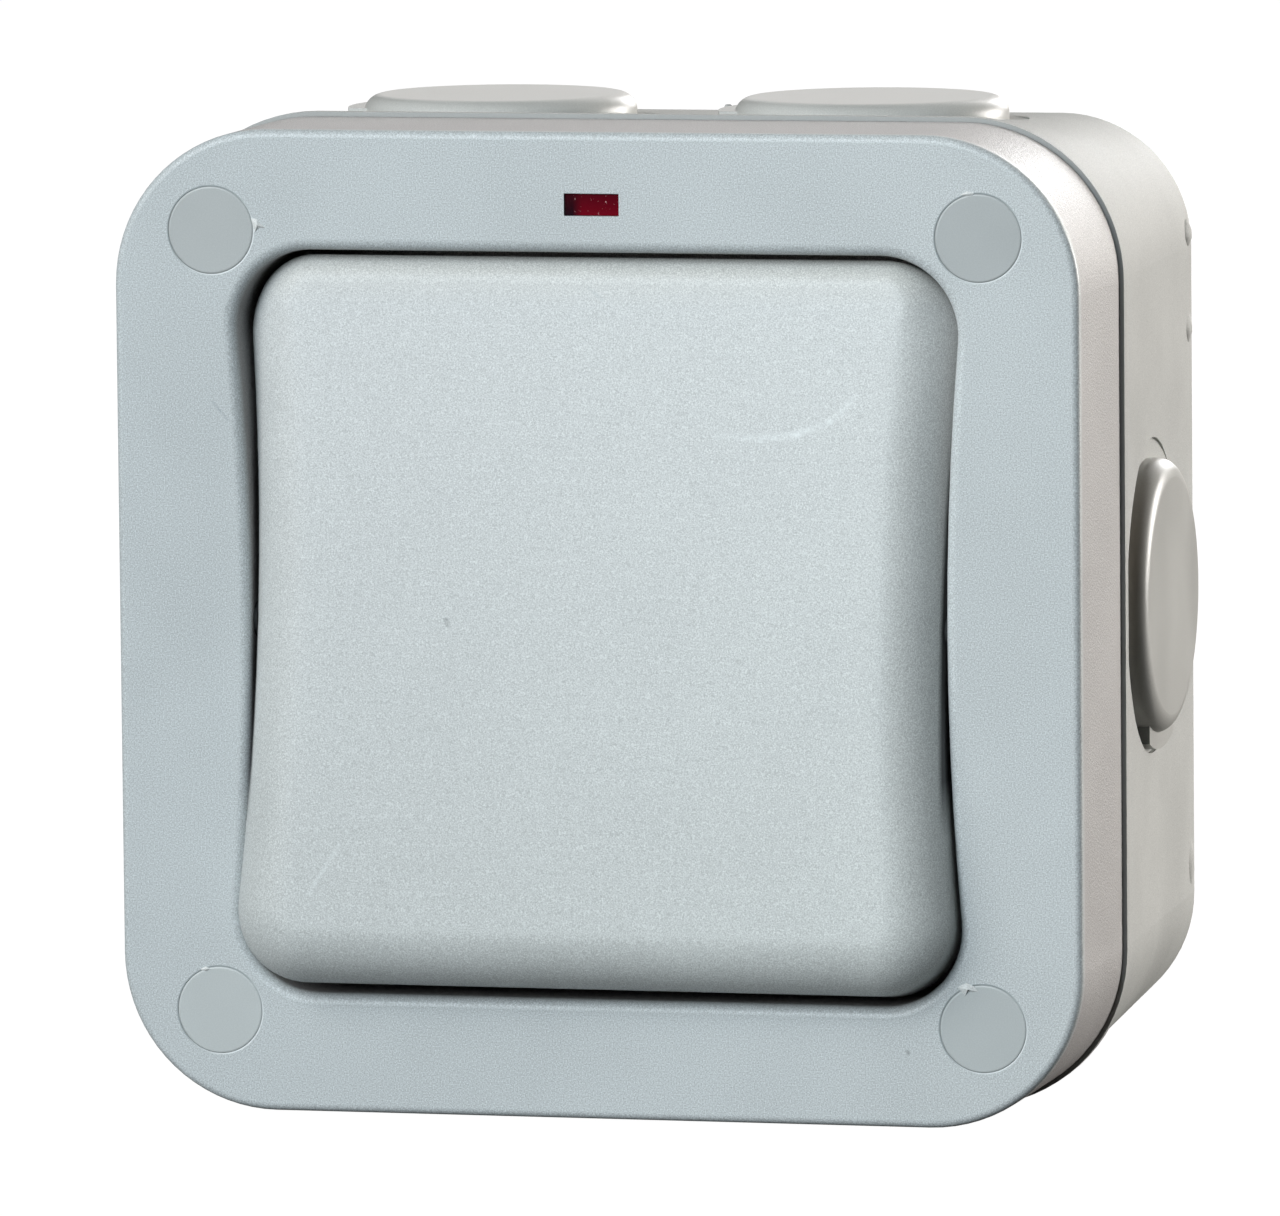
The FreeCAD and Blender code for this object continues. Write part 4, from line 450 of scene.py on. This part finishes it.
def blunt_nib(name, centre, outline, height):
    """Scrap of torn moulding on a cap's rim: an outline in millimetres, raised in the middle."""
    mesh = bpy.data.meshes.new(name)
    form = bmesh.new()
    rim = [form.verts.new(on_cover((centre[0] + x, centre[1] + z), RIM_LIFT))
           for x, z in outline]
    middle_x = sum(x for x, z in outline) / len(outline)
    middle_z = sum(z for x, z in outline) / len(outline)
    top = form.verts.new(on_cover((centre[0] + middle_x, centre[1] + middle_z), height))
    for index, corner in enumerate(rim):
        form.faces.new((corner, rim[(index + 1) % len(rim)], top))
    form.faces.new(list(reversed(rim)))
    bmesh.ops.recalc_face_normals(form, faces=form.faces)
    form.to_mesh(mesh)
    form.free()
    piece = new_piece(name, mesh)
    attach(piece, "switch")
    return piece


def soft_pip(name, place, radii):
    """Small rounded lump of moulding flash, with its place and radii in millimetres."""
    mesh = bpy.data.meshes.new(name)
    form = bmesh.new()
    bmesh.ops.create_icosphere(form, subdivisions=3, radius=1.0)
    for vert in form.verts:
        wobble = 1 + 0.05 * math.sin(7 * vert.co.x + 5 * vert.co.z) * math.cos(6 * vert.co.y)
        vert.co = Vector([(p + r * wobble * c) * MM for p, r, c in zip(place, radii, vert.co)])
    form.to_mesh(mesh)
    form.free()
    mesh.shade_smooth()
    piece = new_piece(name, mesh)
    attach(piece, "switch")
    return piece


# Finishes of the CAD nodes

COVER_BLUE = (0.515, 0.551, 0.557)
ROCKER_GREY = (0.565, 0.585, 0.580)
BOX_GREY = (0.50, 0.505, 0.485)
PLUG_GREY = (0.53, 0.53, 0.505)
CAP_GREY = (0.45, 0.475, 0.47)
RING_BLACK = (0.05, 0.052, 0.055)
MECH_CREAM = (0.72, 0.71, 0.66)
DOLLY_WHITE = (0.80, 0.80, 0.77)
TORN_WHITE = (0.72, 0.74, 0.72)

cover_plastic = moulded_plastic("cover_plastic", COVER_BLUE, 1.0, 0.42, COVER_MARKS)
rocker_plastic = moulded_plastic("rocker_plastic", ROCKER_GREY, 0.9, 0.42, ROCKER_MARKS)
shaded_waist(rocker_plastic)
box_plastic = moulded_plastic("box_plastic", BOX_GREY, 0.6, 0.56, mottle=0.07, gloss=0.35)
dark_ledge(box_plastic)
plug_plastic = moulded_plastic("plug_plastic", PLUG_GREY, 0.25, 0.35, mottle=0.05, gloss=0.45)
cap_plastic = moulded_plastic("cap_plastic", CAP_GREY, 0.15, 0.38)
ring_plastic = moulded_plastic("ring_plastic", RING_BLACK, 0.3, 0.4)
mech_plastic = moulded_plastic("mech_plastic", MECH_CREAM, 0.3, 0.35)
dolly_plastic = moulded_plastic("dolly_plastic", DOLLY_WHITE, 0.2, 0.3)
boot_rubber = rubber("boot_rubber", (0.02, 0.02, 0.022))
gasket_rubber = rubber("gasket_rubber", (0.028, 0.028, 0.03))
screw_steel = metal("screw_steel", (0.62, 0.62, 0.60), 0.25, (0.45, 0.43, 0.38))
spring_steel = metal("spring_steel", (0.55, 0.55, 0.57), 0.2, (0.38, 0.37, 0.35))
insert_brass = metal("insert_brass", (0.70, 0.50, 0.20), 0.22, (0.42, 0.28, 0.12))
contact_brass = metal("contact_brass", (0.74, 0.54, 0.24), 0.25, (0.45, 0.30, 0.14))
window_red = red_lens("window_red")
lamp_clear = lamp_glass("lamp_clear")

# Tints that a plastic drifts between along an axis, with both ends in millimetres. Those of the
# cover and the rocker are painted light and shade.
DRIFTS = [
    # Painted light: the cover's face lighter towards the right
    (cover_plastic, "X", -44, 42, WHITE, (1.13, 1.12, 1.11)),
    # Painted light and shade: the cover's sides darker and warmer than its face
    (cover_plastic, "Y", -57.6, -56.6, WHITE, (0.78, 0.71, 0.695)),
    # Painted shade: the rocker darker towards the bottom
    (rocker_plastic, "Z", -34, 30, (0.92, 0.93, 0.92), WHITE),
    # Painted light: the rocker lighter towards the right
    (rocker_plastic, "X", -20, 28, WHITE, (1.12, 1.12, 1.11)),
    # Painted light: the warm tone of the light on the rocker's top rounding, a little darker
    (rocker_plastic, "Z", 28.5, 31.5, WHITE, (0.97, 0.955, 0.93)),
    (box_plastic, "Z", -38, 32, WHITE, (0.87, 0.87, 0.87)),
    (cap_plastic, "Z", -35, 35, (1.14, 1.15, 1.15), WHITE)]

# Painted shade on the front-facing walls of the side plugs
painted_plug_wall_shade(plug_plastic)
coarser_sides(cover_plastic)
for material, axis, start, end, first, second in DRIFTS:
    drift(material, axis, start, end, first, second)

# Material slots of the record
FINISHES = {
    "box_plastic": box_plastic, "cover_plastic": cover_plastic, "rocker_plastic": rocker_plastic,
    "boot_rubber": boot_rubber, "ring_plastic": ring_plastic, "gasket_rubber": gasket_rubber,
    "screw_steel": screw_steel, "insert_brass": insert_brass, "cap_plastic": cap_plastic,
    "plug_plastic": plug_plastic, "lens_red": window_red, "lamp_glass": lamp_clear,
    "mech_plastic": mech_plastic, "dolly_plastic": dolly_plastic, "spring_steel": spring_steel,
    "contact_brass": contact_brass}

slot_of = {part["node"]: part["material_slot"] for part in frame["record"]["subparts"]}
for node, thing in frame["nodes"].items():
    for slot in thing.material_slots:
        slot.material = FINISHES[slot_of[node]]


# Rocker with the rounding that the photograph shows

def outline_of(form):
    """The open rim of a mesh, as its corners in order."""
    rim = [edge for edge in form.edges if len(edge.link_faces) == 1]
    corner = rim[0].verts[0]
    edge = rim[0]
    ordered = []
    while not ordered or corner is not ordered[0]:
        ordered.append(corner)
        corner = edge.other_vert(corner)
        edge = next(other for other in corner.link_edges if other in rim and other is not edge)
    return ordered


def in_front_skin(place):
    """Whether a corner of the level rocker belongs to its front face or that face's rounding."""
    on_pin = abs(place.x) > WAIST_HALF and abs(place.z) < PIN_ZONE
    return place.y < ROUND_START + ROUND_SLACK and not on_pin


def rounded_rocker():
    """Stand in for the rocker, its front skin laid again over a wider, softer rounding."""
    level = Matrix.Rotation(REST_TILT, 4, "X") @ Matrix.Translation(-PIVOT)
    form = bmesh.new()
    form.from_mesh(frame["nodes"]["rocker"].data)
    form.transform(level)
    bmesh.ops.remove_doubles(form, verts=form.verts, dist=WELD)
    seed = min(form.faces, key=lambda face: face.calc_center_median().y)
    skin = {seed}
    waiting = [seed]
    while waiting:
        for edge in waiting.pop().edges:
            for face in edge.link_faces:
                if face not in skin and all(in_front_skin(vert.co) for vert in face.verts):
                    skin.add(face)
                    waiting.append(face)
    bmesh.ops.delete(form, geom=list(skin), context="FACES")
    rim = outline_of(form)
    count = len(rim)
    outward = []
    for index, vert in enumerate(rim):
        run = rim[(index + 1) % count].co - rim[index - 1].co
        normal = Vector((run.z, 0, -run.x)).normalized()
        outward.append(normal if normal.dot(vert.co) > 0 else -normal)
    rings = [rim]
    for step in range(ROUND_STEPS + 1):
        ring = []
        for vert, normal in zip(rim, outward):
            end = ROUND_TOP if normal.z > 0 else ROUND_BOTTOM
            wide = normal.x ** 2 * ROUND_SIDE + normal.z ** 2 * end
            front = crowned_front((vert.co - normal * wide).z)
            full = ROUND_START - front - SHORT_WALL
            end_deep = TOP_DEEP if normal.z > 0 else full
            deep = normal.x ** 2 * full + normal.z ** 2 * end_deep
            radius = max(deep, (wide ** 2 + deep ** 2) / (2 * deep))
            steepest = math.asin(min(1, wide / radius))
            slope = steepest * (1 - step / ROUND_STEPS)
            place = vert.co - normal * radius * (math.sin(steepest) - math.sin(slope))
            rise = (math.cos(slope) - math.cos(steepest)) / (1 - math.cos(steepest))
            place.y = front + deep * (1 - rise)
            ring.append(form.verts.new(place))
        rings.append(ring)
    edge_ring = [vert.co.copy() for vert in rings[-1]]
    for step in range(1, FACE_STEPS):
        part = 1 - step / FACE_STEPS
        ring = []
        for place in edge_ring:
            across, up = place.x * part, place.z * part
            ring.append(form.verts.new((across, crowned_front(up), up)))
        rings.append(ring)
    middle = form.verts.new((0, crowned_front(0), 0))
    bridge(form, rings)
    for index in range(count):
        form.faces.new((rings[-1][index], rings[-1][(index + 1) % count], middle))
    bmesh.ops.recalc_face_normals(form, faces=form.faces)
    form.transform(level.inverted())
    mesh = bpy.data.meshes.new("rocker_skin")
    form.to_mesh(mesh)
    form.free()
    mesh.shade_smooth()
    mesh.set_sharp_from_angle(angle=SHARP_ANGLE)
    piece = new_piece("rocker_skin", mesh)
    piece.data.materials.append(rocker_plastic)
    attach(piece, "rocker")
    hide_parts("rocker")


rounded_rocker()

# Scraps of flash left by moulding

torn_plastic = moulded_plastic("torn_plastic", TORN_WHITE, 0.6, 0.5)
# Middle, outline round it and height, in millimetres
NIBS = {
    "nib_top_left": (
        (-30.9, 35.6),
        [(-0.35, 0.5), (0.15, 0.45), (0.55, 0.0), (1.0, -0.35), (0.3, -0.4), (0.0, -0.8)],
        0.25),
    "nib_top_right": (
        (34.2, 38.9),
        [(-0.8, -0.1), (-0.2, 0.25), (0.5, 0.1), (0.2, -0.2)],
        0.15),
    "nib_bottom_right": (
        (33.6, -31.4),
        [(-0.9, 0.1), (-0.1, 0.5), (0.6, 0.2), (1.0, -0.3), (0.1, -0.2), (-0.2, -0.7)],
        0.3),
    "nib_bottom_left": (
        (-36.3, -31.3),
        [(-0.5, -0.1), (0.0, 0.2), (0.5, -0.05), (0.0, -0.25)],
        0.15)}
for name, (centre, outline, height) in NIBS.items():
    nib = blunt_nib(name, centre, outline, height)
    nib.data.materials.append(torn_plastic)


# Seams round the caps, with painted light and shade

def cap_seam(name, centre):
    """Thin ring that closes the gap round a cap, with a painted highlight on one side and painted
    shade on the other.
    """
    mesh = bpy.data.meshes.new(name)
    form = bmesh.new()
    rings = []
    for radius, sunk in SEAM_PROFILE:
        ring = []
        for index in range(SEAM_CORNERS):
            turn = 2 * math.pi * index / SEAM_CORNERS
            across, up = radius * math.cos(turn), radius * math.sin(turn)
            ring.append(form.verts.new((across * MM, sunk * MM, up * MM)))
        rings.append(ring)
    bridge(form, rings)
    form.to_mesh(mesh)
    form.free()
    mesh.shade_smooth()
    piece = new_piece(name, mesh)
    piece.location = on_cover(centre)
    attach(piece, "switch")
    return piece


def seam_painted_light_shade(name):
    """Plastic of a seam with painted light and shade: dark at its top left and light at its bottom
    right.
    """
    material, tree, shader = new_material(name)
    dark, light = (0.36, 0.40, 0.405), (0.74, 0.78, 0.78)
    coords = add_node(tree, "TexCoord")
    side = add_node(tree, "VectorMath", {1: (0.7, 0, -0.7)}, operation="DOT_PRODUCT")
    link(tree, coords, "Object", side, 0)
    share = ramp(tree, side, "Value", *SEAM_LIGHT, 0, 1)
    tone = blend_colours(tree, share, "Result", dark, light)
    tree.links.new(tone.outputs[2], shader.inputs["Base Color"])
    shader.inputs["Roughness"].default_value = 0.5
    return material


# Painted highlight and shade for the seams round the caps
seam_painted_shading = seam_painted_light_shade("seam_painted_shading")
for name, across, up in (("seam_top_left", -1, 1), ("seam_top_right", 1, 1),
                         ("seam_bottom_left", -1, -1), ("seam_bottom_right", 1, -1)):
    seam = cap_seam(name, (across * FIXING, up * FIXING))
    seam.data.materials.append(seam_painted_shading)

# Lumps on the box: place and radii in millimetres

PIPS = {
    "pip_right_upper": ((41.3, -1.95, 31.0), (1.0, 1.75, 1.5)),
    "pip_right_middle": ((41.3, -1.95, 22.4), (1.0, 1.75, 1.8)),
    "pip_right_lower": ((41.3, -1.95, -27.0), (0.95, 1.75, 3.0)),
    "pip_top": ((3.2, -20.0, 43.0), (0.55, 0.7, 0.9))}
for name, (place, radii) in PIPS.items():
    pip = soft_pip(name, place, radii)
    pip.data.materials.append(box_plastic)

# Camera, at the photograph's viewing angle

AIM = Vector((4.11 * MM, FRONT, 1.86 * MM))
DISTANCE = 1.2
LENS = 381.2
SENSOR = 36
YAW = math.radians(14.23)
PITCH = math.radians(6.14)
ROLL = math.radians(-0.53)

back = Vector((math.sin(YAW) * math.cos(PITCH), -math.cos(YAW) * math.cos(PITCH), math.sin(PITCH)))
level_right = (-back).cross(Vector((0, 0, 1))).normalized()
level_up = level_right.cross(-back)
right = math.cos(ROLL) * level_right + math.sin(ROLL) * level_up
up = -math.sin(ROLL) * level_right + math.cos(ROLL) * level_up

camera_data = bpy.data.cameras.new("camera")
camera_data.sensor_width = SENSOR
camera_data.lens = LENS
camera_data.clip_start = 0.05
camera_data.clip_end = 50
camera = bpy.data.objects.new("camera", camera_data)
bpy.context.collection.objects.link(camera)
turn = Matrix((right, up, back)).transposed()
camera.matrix_world = Matrix.Translation(AIM + back * DISTANCE) @ turn.to_4x4()
bpy.context.scene.camera = camera


# Floor and light

def seen_white(tree, plain, out):
    """Add a white glow that the picture shows and that lights nothing."""
    path = add_node(tree, "LightPath")
    dark = add_node(tree, "Emission", {"Strength": 0.0})
    glow = add_node(tree, "Emission", {"Color": (1, 1, 1, 1), "Strength": 1.0})
    pick = add_node(tree, "MixShader")
    total = add_node(tree, "AddShader")
    link(tree, path, "Is Camera Ray", pick, 0)
    link(tree, dark, 0, pick, 1)
    link(tree, glow, 0, pick, 2)
    link(tree, plain, 0, total, 0)
    link(tree, pick, 0, total, 1)
    link(tree, total, 0, out, "Surface")


FLOOR_HALF = 6.0
FLOOR_GAP = 0.2 * MM

floor_mesh = bpy.data.meshes.new("floor")
floor_form = bmesh.new()
bmesh.ops.create_grid(floor_form, x_segments=1, y_segments=1, size=FLOOR_HALF)
floor_form.to_mesh(floor_mesh)
floor_form.free()
floor = new_piece("floor", floor_mesh)
floor.location = (0, 0, cad_low.z - FLOOR_GAP)
floor_material, floor_tree, floor_shader = new_material("floor_paper")
floor_shader.inputs["Base Color"].default_value = (0.05, 0.05, 0.05, 1)
floor_shader.inputs["Roughness"].default_value = 0.9
floor_shader.inputs["Specular IOR Level"].default_value = 0.0
paper_out = next(node for node in floor_tree.nodes if node.type == "OUTPUT_MATERIAL")
seen_white(floor_tree, floor_shader, paper_out)
floor_mesh.materials.append(floor_material)

world = bpy.data.worlds.new("studio")
bpy.context.scene.world = world
world.use_nodes = True
sky = world.node_tree.nodes["Background"]
sky.inputs["Color"].default_value = (1.0, 0.86, 0.72, 1)
sky.inputs["Strength"].default_value = 0.05
world_out = world.node_tree.nodes["World Output"]
seen_white(world.node_tree, sky, world_out)


MIDDLE = Vector((0, -0.03, 0))


def soft_light(name, place, size, power, colour):
    """Add a square soft light that looks at the middle of the switch."""
    data = bpy.data.lights.new(name, "AREA")
    data.shape = "SQUARE"
    data.size = size
    data.energy = power
    data.color = colour
    lamp = bpy.data.objects.new(name, data)
    lamp.location = place
    lamp.rotation_euler = (MIDDLE - Vector(place)).to_track_quat("-Z", "Y").to_euler()
    bpy.context.collection.objects.link(lamp)


soft_light("key", (-0.72, -1.06, 0.60), 1.1, 12.5, (0.99, 0.98, 0.96))
soft_light("fill", (-0.26, -1.30, 0.56), 0.8, 12.0, (0.78, 0.90, 0.99))
soft_light("back_edge", (0.15, 0.93, 0.29), 0.3, 2.2, (1.0, 1.0, 1.0))
soft_light("back_side", (0.93, 0.88, 0.20), 0.6, 20.5, (1.0, 0.97, 0.93))
soft_light("back_top", (0.0, 1.1, 0.58), 1.0, 3.8, (1.0, 0.98, 0.97))

bpy.context.scene.view_settings.view_transform = "Standard"
